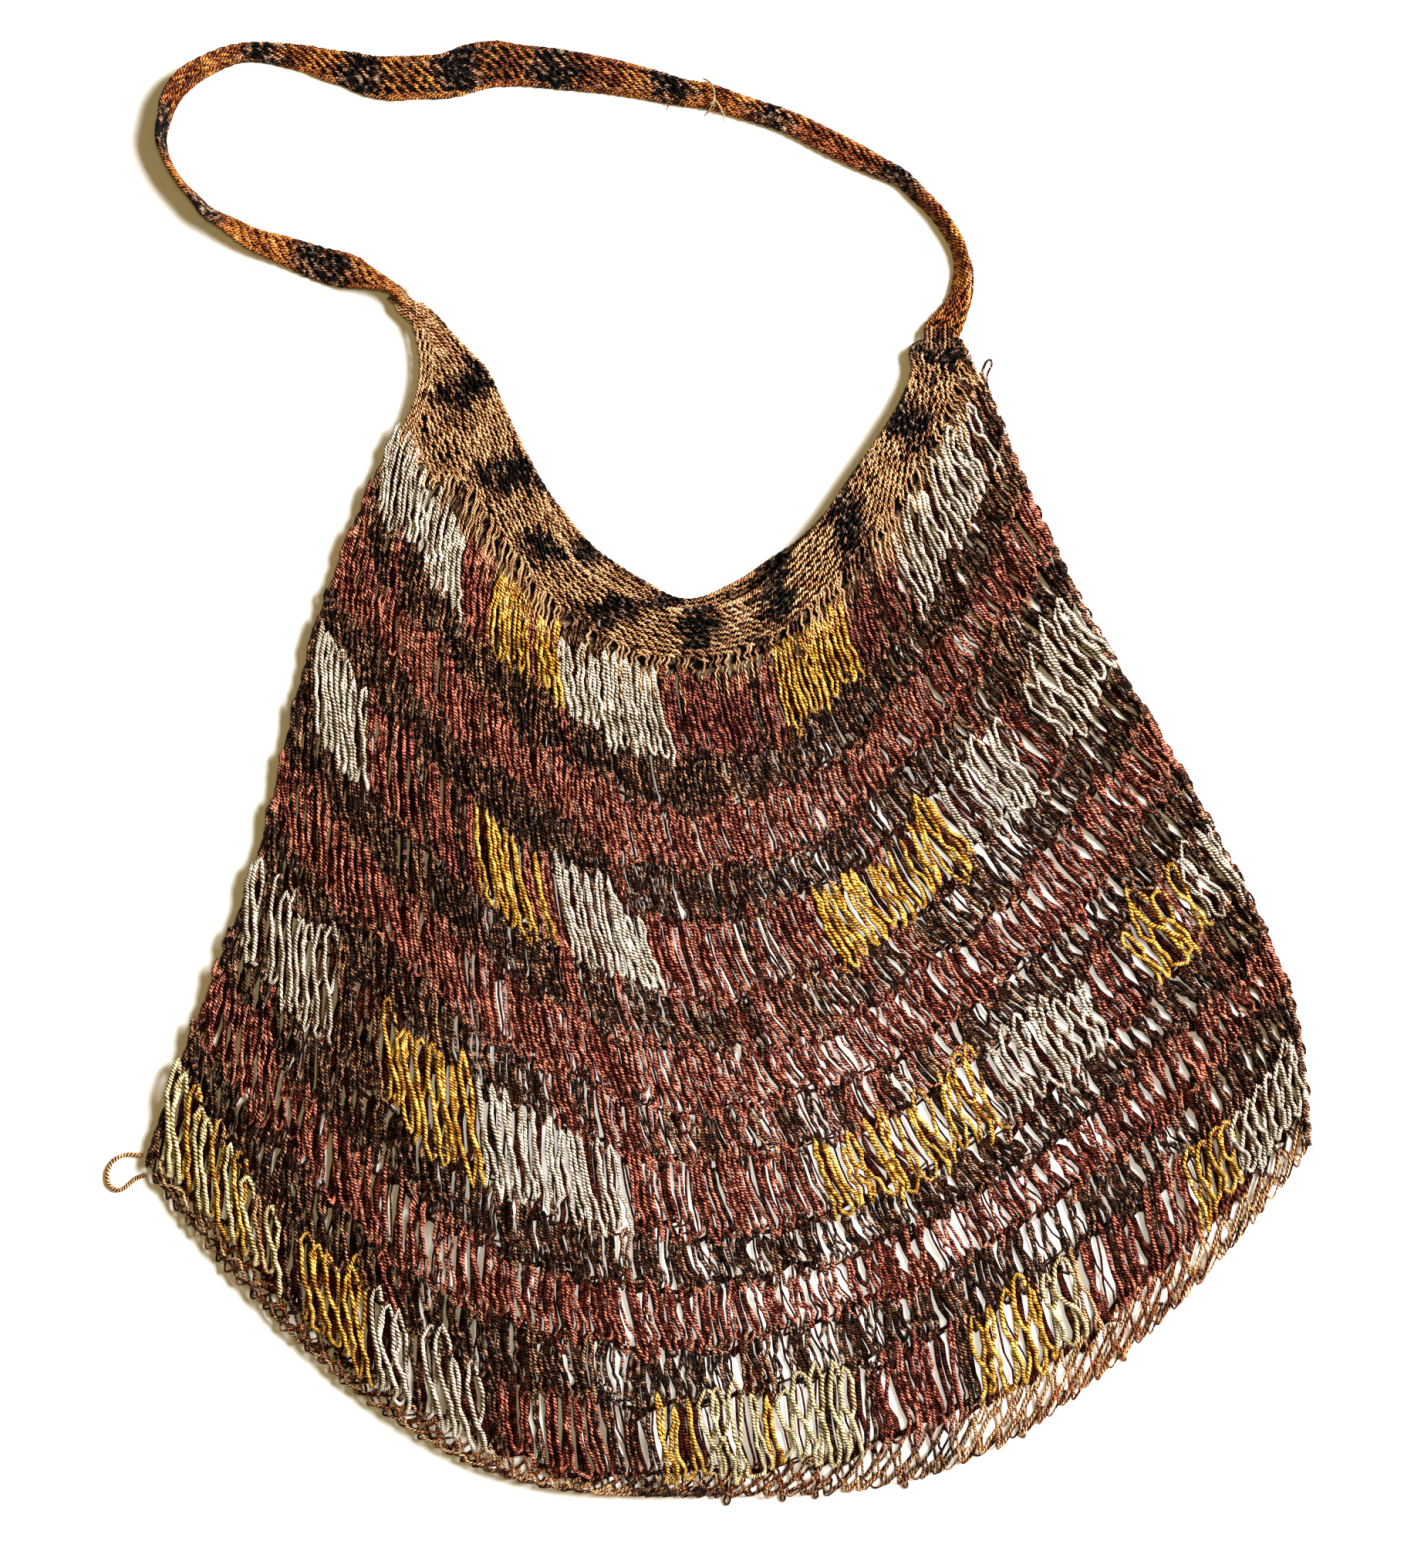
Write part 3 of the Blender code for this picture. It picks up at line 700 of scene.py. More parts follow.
# The rim: strands along both side folds, the chain on the right one and the teeth along the bottom
rim = {
    "radius": 0.74,          # mm
    "strands": 8,            # side by side round each fold
    "reach": 1.7,
    "inset": 1.0,
    "rise": 2.0,
    "sway": 0.45,
    "chainRadius": 0.55,
    "chainPitch": 8.4,
    "toothRadius": 0.50,
    "toothPitch": 8.8,
    "toothReach": 3.0,
    "hangRadius": 0.48,
    "earRadius": 0.6,
}
# The hanging loops at the bottom: share across, length in mm and lean in degrees
hangingLoops = (
    (0.508, 5.5, -6), (0.555, 4.2, 8), (0.585, 3.6, -10),
    (0.66, 4.4, 14), (0.76, 3.8, 20), (0.845, 3.4, 30),
)
# One of them: shares of its length outwards and of its width, and mm up
hangShape = np.array((
    (-1.5, -0.6, 2.2), (0.1, -0.35, 1.5), (0.6, -0.8, 0.9), (0.95, -0.3, 0.7),
    (0.95, 0.35, 0.7), (0.55, 0.8, 0.9), (0.0, 0.3, 1.6), (-1.4, 0.7, 2.4),
))
# The small loop that stands up at the net's upper right corner
cornerEar = (
    (112.5, 163.0), (113.8, 166.5), (115.2, 169.5), (117.0, 170.0),
    (117.2, 167.5), (115.6, 164.5), (115.4, 161.0),
)


def foldLine(onLeft):
    # Along a side fold: a ruler in mm, the places, the ways out of the bag and the courses
    courses = np.linspace(0.05, 13.95, 900)
    line = netPoint(np.full(900, 0.0 if onLeft else 1.0), courses)
    steps = np.linalg.norm(np.diff(line, axis=0), axis=1)
    ruler = np.concatenate([[0.0], np.cumsum(steps)])
    ahead = np.gradient(line, axis=0)
    ahead /= np.linalg.norm(ahead, axis=1)[:, None]
    out = np.column_stack([ahead[:, 1], -ahead[:, 0]]) * (1.0 if onLeft else -1.0)
    return ruler, line, out, courses


def onFold(fold, at, aside, height):
    ruler, line, out, _ = fold
    at = np.clip(at, 0.0, ruler[-1])
    places = [np.interp(at, ruler, line[:, i]) + np.interp(at, ruler, out[:, i]) * aside for i in range(2)]
    return np.column_stack([*places, np.maximum(height + 0 * at, 0.8)])


def sideRim(onLeft, dice):
    # Strands side by side round a side fold, each a row's height long
    fold = foldLine(onLeft)
    middle = (lay["backHeight"] + lay["wall"] / 2 + lay["foldGap"]) / 2
    runs = []
    for index, (top, row) in enumerate(netRows):
        bottom = netRows[index + 1][0] if index + 1 < len(netRows) else 13.9
        start, end = np.interp((top, bottom), fold[3], fold[0])
        for k in range(rim["strands"]):
            angle = math.radians(-80.0 + 160.0 * k / (rim["strands"] - 1) + dice.normal(0.0, 5.0))
            at = np.arange(start - dice.uniform(0.5, 3.0), end + 2.5, 2.0)
            sway = np.sin(2 * math.pi * at / 8.5 + dice.uniform(0.0, 2 * math.pi)) * rim["sway"]
            aside = math.cos(angle) * rim["reach"] - rim["inset"] + sway
            height = middle + math.sin(angle) * rim["rise"] + 0.4 * sway
            yarn = yarnOf(row, 0.01 if onLeft else 0.99, False)
            if yarn in paleYarns and (onLeft or dice.uniform() < 0.55):
                yarn = "brownYarn"
            runs.append((onFold(fold, at, aside, height), rim["radius"], blendedYarn(yarn, dice.uniform())))
    return runs


def sideChain(dice):
    # Dark half loops that stand out from the right fold
    fold = foldLine(False)
    runs = []
    at = float(np.interp(0.45, fold[3], fold[0]))
    while at < np.interp(13.0, fold[3], fold[0]):
        wide = rim["chainPitch"] * (1 + dice.normal(0.0, 0.15))
        out = dice.uniform(0.5, 1.1)
        along = at + wide * np.array((-0.08, 0.10, 0.32, 0.60, 0.84, 1.0, 1.08))
        aside = np.array((-1.2, 0.5, 1.9, 2.2, 1.2, 0.0, -1.2)) * out
        yarn = blendedYarn("brownYarn" if dice.uniform() < 0.7 else "redYarn", dice.uniform())
        runs.append((roundOff(onFold(fold, along, aside, 3.2 + 0.5 * aside)), rim["chainRadius"], yarn))
        at += wide
    return runs


def bottomRim(dice):
    # Pointed loops along the bottom fold
    shares = np.linspace(0.004, 0.996, 1200)
    line = netPoint(shares, np.full(1200, 14.0))
    ruler = np.concatenate([[0.0], np.cumsum(np.linalg.norm(np.diff(line, axis=0), axis=1))])
    turns = np.array((-2.6, -0.9, 0.5, 0.75, 0.5, -0.9, -2.6))
    runs = []
    at = 2.0
    while at < ruler[-1] - 3.0:
        wide = rim["toothPitch"] * (1 + dice.normal(0.0, 0.2))
        along = at + wide * np.array((-0.62, -0.36, -0.12, 0.0, 0.12, 0.38, 0.64))
        here = np.interp(along, ruler, shares)
        out = rim["toothReach"] * dice.uniform(0.45, 1.15) * turns
        base = netPoint(here, np.full(len(here), 14.0))
        away = base - netPoint(here, np.full(len(here), 13.6))
        away /= np.linalg.norm(away, axis=1)[:, None]
        height = dice.uniform(1.6, 4.0) + np.array((0.7, 0.5, 0.0, -0.2, -0.3, -0.5, -0.7))
        height = np.maximum(height, rim["toothRadius"] + 0.12)
        points = np.column_stack([base + away * out[:, None], height])
        runs.append((roundOff(points), rim["toothRadius"], blendedYarn("coffeeYarn", dice.uniform())))
        at += wide * 0.8
    return runs


def hangLoop(share, length, lean):
    foot = netPoint(np.array([share]), np.array([14.0]))[0]
    angle = math.radians(-90.0 + lean)
    way = np.array((math.cos(angle), math.sin(angle)))
    side = np.array((-way[1], way[0]))
    places = foot + way * (hangShape[:, :1] * length * 0.9) + side * (hangShape[:, 1:2] * length * 0.28)
    points = roundOff(np.column_stack([places, hangShape[:, 2]]))
    return roundOff(points), rim["hangRadius"], "sherryYarn"


def makeRim():
    dice = np.random.default_rng(53)
    runs = sideRim(True, dice) + sideRim(False, dice) + sideChain(dice) + bottomRim(dice)
    for k, (top, bottom) in enumerate(zip(laceRows, laceRows[1:])):
        for onBack in (False, True):
            runs += laceRow(top, bottom, 0.5 * (k % 2) + 0.25 * onBack, onBack, dice)
    runs += [hangLoop(*loop) for loop in hangingLoops]
    ear = np.column_stack([cornerEar, np.linspace(4.6, 3.4, len(cornerEar))])
    runs.append((roundOff(ear), rim["earRadius"], "coffeeYarn"))
    return addPiece("net_rim", [yarnTubes("net_rim", runs, 6)], "net_body")


netFront, netAccents = makeWall("net_front", False, 11)
netBack = makeWall("net_back", True, 23)
netRim = makeRim()

# the mouth band
# share across the net, x and y in mm, the back's lift above the front and the cut's bow
bandEdge = np.array((
    (0.000, -127.5, 191, 0, 7),
    (0.005, -122.5, 193.5, 0, 7),
    (0.013, -116.5, 190, 0, 6),
    (0.026, -108.5, 181.5, 0, 5),
    (0.045, -100.5, 173, 0, 3),
    (0.070, -93.5, 165.5, 0, 2),
    (0.100, -87.5, 153, 0, 1),
    (0.130, -81.5, 139.5, 0, 0),
    (0.165, -74.5, 126, 0, 0),
    (0.200, -69, 113, 2, 0),
    (0.235, -64, 98.5, 7, 0),
    (0.270, -56.5, 86, 9.5, 0),
    (0.320, -44, 77, 9, 0),
    (0.380, -29.5, 69.5, 8, 0),
    (0.440, -16, 66, 5, 0),
    (0.500, -5, 66, 4.5, 0),
    (0.560, 7.5, 68, 7, 0),
    (0.620, 19, 74, 7, 0),
    (0.670, 28.5, 83, 5, 0),
    (0.720, 38.5, 94, 1.5, 0),
    (0.770, 49.5, 107.5, 0, 0),
    (0.820, 59.5, 122, 0, 0),
    (0.870, 68, 134, 0, 0),
    (0.920, 75, 144.5, 0, 0),
    (0.955, 80.5, 154.5, 0, 0),
    (0.980, 84.5, 166, 0, 0),
    (0.992, 86.5, 177, 0, 0),
    (1.000, 104.5, 178.5, 0, 0),
))
band = {
    "rowGap": 2.05,          # mm from row to row of stitches
    "tight": 0.72,           # share of the width that is stitched close
    "tipTight": 0.97,        # the same at the left tip
    "tipLength": 34.0,       # mm
    "tipFade": 24.0,
    "tipRadius": 0.66,
    "stitch": 4.6,           # mm from one stitch to the next along a row
    "reach": 2.55,           # mm from a stitch's middle to its end
    "radius": 0.67,
    "leftTilt": 4.0,         # degrees from the band's own direction to the stitches' on the left arm
    "rightTilt": 30.0,
    "strandGap": 2.5,        # mm between the strands of the open lower edge
    "strandRadius": 0.58,
    "leftLean": 3.6,         # mm along the band that the strands' feet stand off their heads
    "rightLean": -3.0,
    "fan": 11.5,             # mm from one eyelet to the next
    "edgeRadius": 0.80,
    "edgeBead": 3.2,         # mm from bead to bead along the mouth's edge
    "endGap": 1.9,           # mm between the columns of stitches at the left end
    "endReach": 2.6,
    "endStitch": 4.7,
}
# The dark patches: mm along the band at the mouth's edge, how far they slide back down the width,
# half their length, and the shares of the width where they start and end
bandPatches = (
    (38.0, 38.0, 7.0, -0.2, 0.56),
    (79.0, 42.0, 8.0, -0.2, 0.60),
    (112.0, 40.0, 7.5, 0.03, 0.60),
    (147.0, 30.0, 9.0, -0.2, 0.68),
    (175.0, 0.0, 7.5, -0.2, 0.62),
    (212.0, 0.0, 8.0, -0.2, 0.60),
    (256.0, 0.0, 9.0, -0.2, 0.72),
    (305.0, 0.0, 9.5, -0.2, 0.64),
    (341.0, 0.0, 8.0, -0.2, 0.60),
)
# The back band's own, that show above the front's edge
backPatches = (
    (80.0, 30.0, 7.0, -0.2, 0.6),
    (118.0, 30.0, 6.5, -0.2, 0.6),
    (156.0, 0.0, 7.0, -0.2, 0.6),
    (209.0, 0.0, 8.0, -0.2, 0.6),
)


def bandPoint(across, down, back):
    # x and y in mm at a share of the way across the band, from its upper edge down to the net
    across, down = np.asarray(across, float), np.asarray(down, float)
    x, y, lift, bow = curveAt(bandEdge[:, 0], bandEdge[:, 1:], across).T
    ahead = netPoint(np.minimum(1.0, across + 0.01), 0 * across)
    run = ahead - netPoint(np.maximum(0.0, across - 0.01), 0 * across)
    toMouth = np.column_stack([-run[:, 1], run[:, 0]])
    toMouth /= np.linalg.norm(toMouth, axis=1)[:, None]
    foot = netPoint(across, 0 * across) + toMouth * lay["bandClearance"]
    head = np.column_stack([x, y])
    if back:
        head = head + toMouth * np.maximum(0.0, lift)[:, None]
    aside = foot - head
    aside = np.column_stack([-aside[:, 1], aside[:, 0]])
    aside /= np.linalg.norm(aside, axis=1)[:, None]
    bulge = np.maximum(0.0, bow) * 4 * down * (1 - down)
    return head + (foot - head) * down[:, None] + aside * bulge[:, None]


def bandHeight(across, back):
    return np.full(len(across), lay["backHeight"]) if back else frontHeight(across, 0.0 * across)


def bandRuler(back):
    # Shares across the band at each mm along its middle
    shares = np.linspace(0.0, 1.0, 400)
    middle = bandPoint(shares, np.full(400, 0.4), back)
    length = np.concatenate([[0.0], np.cumsum(np.linalg.norm(np.diff(middle, axis=0), axis=1))])
    return length, shares


def patchDepth(x, y, patches):
    return max(1.0 - math.hypot((x - px) / rx, (y - py) / ry) for px, py, rx, ry in patches)


def bandYarn(at, down, back, dice):
    depth = -9.0
    for edge, slide, half, start, end in (backPatches if back else bandPatches):
        long = abs(at - edge + slide * down) / half
        wide = abs(down - (start + end) / 2) / ((end - start) / 2)
        depth = max(depth, 1.0 - max(long, wide))
    depth += dice.gauss(0.0, 0.17)
    if depth > 0.22:
        return "blackYarn"
    if depth > -0.12:
        return "coffeeYarn"
    return "coffeeYarn" if dice.random() < 0.05 else "tanYarn"


def bandGauge(back):
    # Along the band: a ruler in mm, the shares across, its width and how squarely it is crossed
    length, shares = bandRuler(back)
    head = bandPoint(shares, np.zeros(len(shares)), back)
    down = bandPoint(shares, np.ones(len(shares)), back) - head
    width = np.linalg.norm(down, axis=1)
    ahead = np.gradient(bandPoint(shares, np.full(len(shares), 0.4), back), axis=0)
    ahead /= np.maximum(np.linalg.norm(ahead, axis=1), 1e-6)[:, None]
    square = np.abs(ahead[:, 0] * down[:, 1] - ahead[:, 1] * down[:, 0]) / width
    return length, shares, width, np.maximum(square, 0.35)


def stitchedShare(at):
    fade = smoothStep((at - band["tipLength"] + band["tipFade"] / 2) / band["tipFade"])
    return band["tipTight"] + (band["tight"] - band["tipTight"]) * float(fade)


def bandStitches(back, dice):
    # Rows of short stitches side by side from the mouth's edge down to the eyelets
    length, shares, widths, squares = bandGauge(back)
    runs = []
    for row in range(28):
        at = 0.8 + (row % 3) * band["stitch"] / 3 + dice.uniform(-0.4, 0.4)
        while at < length[-1] - 1.2:
            width = float(np.interp(at, length, widths))
            square = float(np.interp(at, length, squares))
            depth = (0.8 + row * band["rowGap"] + dice.gauss(0.0, 0.14)) / square
            limit = width * stitchedShare(at) + dice.gauss(0.0, 0.9)
            at += band["stitch"] * (1 + dice.gauss(0.0, 0.07))
            if depth > limit:
                continue
            turned = float(smoothStep((at / length[-1] - 0.5) / 0.3))
            tilt = band["leftTilt"] + (band["rightTilt"] - band["leftTilt"]) * turned
            tilt = math.radians(tilt + dice.gauss(0.0, 5.0))
            reach = band["reach"] * (1.0 + dice.gauss(0.0, 0.08))
            steps = np.array((-1.0, -0.55, -0.1, 0.35, 0.75, 1.0)) * reach
            sway = np.array((0.40, 0.28, -0.06, 0.10, -0.28, -0.42)) * band["rowGap"]
            here = np.interp(at + steps * math.cos(tilt) - sway * math.sin(tilt), length, shares)
            drop = (depth - (steps * math.sin(tilt) + sway * math.cos(tilt)) / square) / width
            places = bandPoint(here, np.clip(drop, 0.0, 0.98), back)
            radius = band["radius"] * (1.0 + dice.gauss(0.0, 0.07))
            rise = np.array((-0.9, 0.1, 0.7, 0.7, 0.1, -0.9)) * radius
            height = bandHeight(here, back)
            height = height - 0.3 * rise if back else height + rise
            points = np.column_stack([places, np.maximum(height, radius + 0.05)])
            runs.append((points, radius, bandYarn(at, depth / width, back, dice)))
    return runs


def bandStrands(back, dice):
    # The open loops between the stitched part and the net, drawn together between eyelets
    length, shares = bandRuler(back)
    runs = []
    at = 0.8
    while at < length[-1] - 0.6:
        tight = stitchedShare(at) - 0.04
        drop = tight + (1.03 + dice.gauss(0.0, 0.02) - tight) * np.array((0.0, 0.2, 0.4, 0.6, 0.8, 1.0))
        fan = at - band["fan"] * round(at / band["fan"])
        pull = np.array((0.0, -0.30, -0.36, -0.24, -0.08, 0.10)) * fan * (0.55 + 0.45 * math.sin(0.9 * at))
        lean = band["leftLean"] + (band["rightLean"] - band["leftLean"]) * at / length[-1]
        slant = lean * (drop - tight) / 0.3
        wave = np.array((0.0, 0.5, -0.5, 0.5, -0.45, 0.2)) * (1 + dice.gauss(0.0, 0.5))
        here = np.interp(at + pull + slant + wave + dice.gauss(0.0, 0.25), length, shares)
        places = bandPoint(here, np.minimum(drop, 1.0), back)
        foot = netPoint(here, 8.0 * np.maximum(drop - 1.0, 0.0))
        places = np.where(drop[:, None] > 1.0, foot, places)
        radius = band["strandRadius"] * (1.0 + dice.gauss(0.0, 0.08))
        rise = np.array((-0.4, 0.5, 0.9, 0.3, 0.8, 1.0)) * radius
        height = bandHeight(here, back)
        height = height - rise if back else height + rise
        points = np.column_stack([places, np.maximum(height, radius + 0.12)])
        yarn = bandYarn(at, tight, back, dice)
        runs.append((roundOff(points), radius, "coffeeYarn" if yarn == "blackYarn" else yarn))
        at += band["strandGap"] * (1 + dice.gauss(0.0, 0.14))
    return runs


def endStitches(back, dice):
    # Columns of stitches down the band's own left end
    length, shares, widths, _ = bandGauge(back)
    runs = []
    for column in range(4):
        at = 0.7 + band["endGap"] * column
        width = float(np.interp(at, length, widths))
        depth = 2.0 + dice.uniform(0.0, 2.0)
        while depth < width - 1.5:
            steps = np.array((-1.0, -0.5, 0.0, 0.5, 1.0)) * band["endReach"]
            sway = np.array((0.45, 0.30, 0.0, -0.30, -0.45))
            here = np.interp(at + sway, length, shares)
            places = bandPoint(here, np.clip((depth + steps) / width, 0.0, 0.99), back)
            rise = np.array((-0.5, 0.3, 0.7, 0.3, -0.5)) * band["radius"]
            height = bandHeight(here, back) + (0.2 - rise if back else 0.4 + rise)
            points = np.column_stack([places, height])
            runs.append((points, band["radius"], bandYarn(at, depth / width, back, dice)))
            depth += band["endStitch"] * (1 + dice.gauss(0.0, 0.08))
    return runs


def tipStrands(back, dice):
    # Short strands over both joints with the strap
    runs = []
    for k in range(7):
        share = (k + 0.5) / 7
        start = np.array((-132.5, 198.6)) + np.array((2.4, 3.2)) * (share - 0.5) * 2
        bend = np.array((-127.5, 193.5)) + np.array((2.6, 3.0)) * (share - 0.5) * 2
        end = bandPoint([0.016 + dice.uniform(0.0, 0.01)], [0.03 + 0.24 * (1 - share)], back)[0]
        places = np.array((start, (start + bend) / 2, bend, (bend + end) / 2, end))
        bulge = np.array((0.0, 0.6, -0.5, 0.6, 0.0))[:, None] * np.array((0.6, 0.8))
        places += bulge * dice.uniform(0.4, 1.3)
        height = np.array((3.2, 4.2, 5.0, 5.4, 5.6)) + 0.8 * math.sin(3.0 * share)
        if back:
            height = np.array((2.0, 1.8, 1.7, 1.6, 1.5))
        yarn = "tanYarn" if dice.random() < 0.7 else "sherryYarn"
        runs.append((roundOff(np.column_stack([places, height])), band["tipRadius"], yarn))
        x = 89.0 + 13.2 * share
        sway = dice.uniform(-0.6, 0.6)
        side = np.array((
            (x + sway, 184.0 + 2 * sway), (x, 181.0), (x + sway, 177.8), (x - sway, 174.5 - sway),
        ))
        height = np.array((1.8, 1.6, 1.5, 1.5)) if back else np.array((5.2, 5.4, 5.8, 6.0))
        yarn = "tanYarn" if dice.random() < 0.5 else "coffeeYarn"
        runs.append((roundOff(np.column_stack([side, height])), band["tipRadius"], yarn))
    return runs


def bandShadeSheet(back):
    # A dark sheet under the stitches, in the black yarn's finish: painted shade between them
    bm = bmesh.new()
    grid = bmesh.ops.create_grid(bm, x_segments=110, y_segments=5, size=0.5)["verts"]
    length, shares = bandRuler(back)
    along = 1.2 + np.array([v.co.x + 0.5 for v in grid]) * (length[-1] - 2.4)
    across = np.interp(along, length, shares)
    down = np.array([0.5 - v.co.y for v in grid]) * 0.86 + 0.015
    places = bandPoint(across, down, back)
    height = np.full(len(across), 1.2) if back else bandHeight(across, back) - 0.5
    for v, point in zip(grid, inMetres(np.column_stack([places, height]))):
        v.co = point
    bmesh.ops.recalc_face_normals(bm, faces=bm.faces)
    bmesh.ops.solidify(bm, geom=bm.faces, thickness=(0.4 if back else 0.8) * mm)
    bmesh.ops.recalc_face_normals(bm, faces=bm.faces)
    mesh = bpy.data.meshes.new("ground")
    bm.to_mesh(mesh)
    bm.free()
    mesh.uv_layers.new(name="UVMap")
    mesh.materials.append(yarnMaterial("blackYarn"))
    return mesh


def edgeRope(back, dice):
    # The bound edge of the mouth, a cord that bulges at every loop it holds
    length, shares = bandRuler(back)
    at = np.arange(0.4, length[-1] - 0.4, 0.8)
    here = np.interp(at, length, shares)
    beads = 2 * math.pi * at / band["edgeBead"] + 1.2 * np.sin(0.11 * at)
    places = bandPoint(here, 0.006 * np.sin(beads), back)
    height = bandHeight(here, back) + 0.3 * np.cos(beads)
    points = np.column_stack([places, height])
    runs = []
    for first in range(0, len(at) - 1, 10):
        run = points[first:first + 11].copy()
        run[0, 2] += 0.06
        yarn = bandYarn(at[first], 0.0, back, dice)
        if yarn == "tanYarn" and dice.random() < 0.3:
            yarn = "coffeeYarn"
        runs.append((run, band["edgeRadius"], yarn))
    return runs


def makeBand(name, back, seed):
    dice = random.Random(seed)
    runs = bandStitches(back, dice) + bandStrands(back, dice)
    runs += edgeRope(back, dice) + endStitches(back, dice) + tipStrands(back, dice)
    stitches = addPiece(name + "_yarn", [yarnTubes(name, runs, 4)], "mouth_band")
    # The band's own piece is its dark sheet of painted shade under the stitches
    return addPiece(name, [bandShadeSheet(back)], "mouth_band"), stitches


bandFront, frontStitches = makeBand("band_front", False, 31)
bandBack, backStitches = makeBand("band_back", True, 37)

# the strap
# x, y, width, thickness in mm, roll in degrees and depth of the lengthwise crease
strapStations = np.array((
    (-127.4, 193.2, 8, 3.4, 78, 0),
    (-129.5, 197, 8.5, 3, 74, 0),
    (-133.5, 200.5, 9, 2.8, 58, 0),
    (-140.5, 203.5, 10.5, 2.8, 36, 0),
    (-150, 207, 15, 2.8, 12, 0),
    (-163, 210.5, 14.5, 2.8, 0, 0),
    (-177.5, 216, 12.5, 2.8, 8, 0),
    (-190.5, 220.5, 11, 2.8, 24, 0),
    (-201.5, 227, 10.5, 2.8, 50, 0),
    (-209.5, 231.5, 10.5, 2.8, 64, 0),
    (-215, 237.5, 11, 2.8, 77, 0),
    (-222.5, 246, 11, 2.8, 86, 0),
    (-227, 254.5, 11, 2.8, 86, 0),
    (-229, 262, 11, 2.8, 79, 0),
    (-227.5, 271, 11, 2.8, 71, 0),
    (-225, 279.5, 11, 2.8, 56, 0),
    (-219, 287, 11.5, 2.8, 50, 0),
    (-210.5, 292.5, 11, 2.8, 50, 0),
    (-202, 296.5, 10, 2.8, 48, 0),
    (-194, 298.5, 9, 2.8, 40, 0),
    (-186.5, 298.5, 9, 2.8, 30, 0),
    (-177.5, 297.5, 10, 2.8, 18, 0),
    (-168.5, 296, 11.5, 2.8, 8, 0),
    (-159.5, 293.5, 13.5, 2.8, 0, 0),
    (-150, 291.5, 15.5, 2.8, 0, 0),
    (-142, 289, 17.5, 2.8, 0, 0),
    (-133, 288, 19, 2.8, 0, 0),
    (-122.5, 288.5, 18.5, 2.8, 0, 0),
    (-110.5, 289, 19.5, 2.8, 0, 0),
    (-99, 292.5, 20.5, 2.8, 0, 0),
    (-91.5, 294, 20, 2.8, 0, 0),
    (-81, 293.5, 18, 2.8, 0, 0),
    (-60.5, 291.5, 17, 2.8, 0, 0),
    (-40, 288.5, 15, 2.8, 0, 0),
    (-21.5, 284.5, 13, 3.2, 0, 0),
    (-11.5, 282, 11.5, 3.8, 0, 0.6),
    (-1, 280.5, 11, 4.4, 0, 1),
    (11.5, 276.5, 9.8, 4.6, 0, 1.4),
    (31.5, 270, 9.8, 4.6, 0, 1.6),
    (51, 260.5, 10.5, 4.6, 4, 1.6),
    (61, 255.5, 10.2, 4.6, 10, 1.4),
    (70.5, 250.5, 9, 4.4, 28, 1),
    (79.5, 246, 9, 4.2, 48, 0.6),
    (87, 239, 9, 4.2, 58, 0.4),
    (94, 232, 9, 4.2, 62, 0.4),
    (99.5, 224.5, 9, 4.2, 62, 0.4),
    (103.5, 217, 9, 4, 60, 0.4),
    (105, 209.5, 9, 3.8, 56, 0.2),
    (104.5, 201, 9.5, 3.8, 40, 0),
    (103, 193, 11, 4.2, 20, 0),
    (99.5, 186.5, 13.5, 5, 4, 0),
    (96.5, 181.5, 15.5, 5.6, 0, 0),
    (95.8, 178.4, 16, 5.8, 0, 0),
))
# The strap's section: shares of its width and of its thickness, once round from its right edge
strapRound = np.array((
    (0.50, 0.0), (0.44, 0.40), (0.20, 0.50), (0.0, 0.50), (-0.20, 0.50), (-0.44, 0.40),
    (-0.50, 0.0), (-0.44, -0.40), (0.0, -0.50), (0.44, -0.40), (0.50, 0.0),
))
strap = {
    "columns": 12,
    "stitch": 4.5,           # mm
    "radius": 0.80,
    "sink": 0.90,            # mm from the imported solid's face to the stitches' middle
    "cordRadius": 0.80,
    "cordWave": 3.4,         # mm from bead to bead along the edge cords
}
strapPatches = (
    (-189.0, 299.0, 9.0, 12.0),
    (-148.0, 289.5, 9.0, 13.0),
    (-108.5, 290.0, 9.0, 14.0),
    (-66.0, 291.5, 10.0, 13.0),
    (-18.5, 286.5, 10.0, 12.0),
    (24.0, 272.0, 10.0, 8.0),
    (80.0, 250.5, 12.0, 9.0),
    (-230.0, 262.0, 6.0, 14.0),
    (-212.0, 231.5, 10.0, 6.0),
    (-161.0, 211.0, 11.0, 12.0),
)


def strapRuler():
    steps = np.linalg.norm(np.diff(strapStations[:, :2], axis=0), axis=1)
    return np.concatenate([[0.0], np.cumsum(steps)])


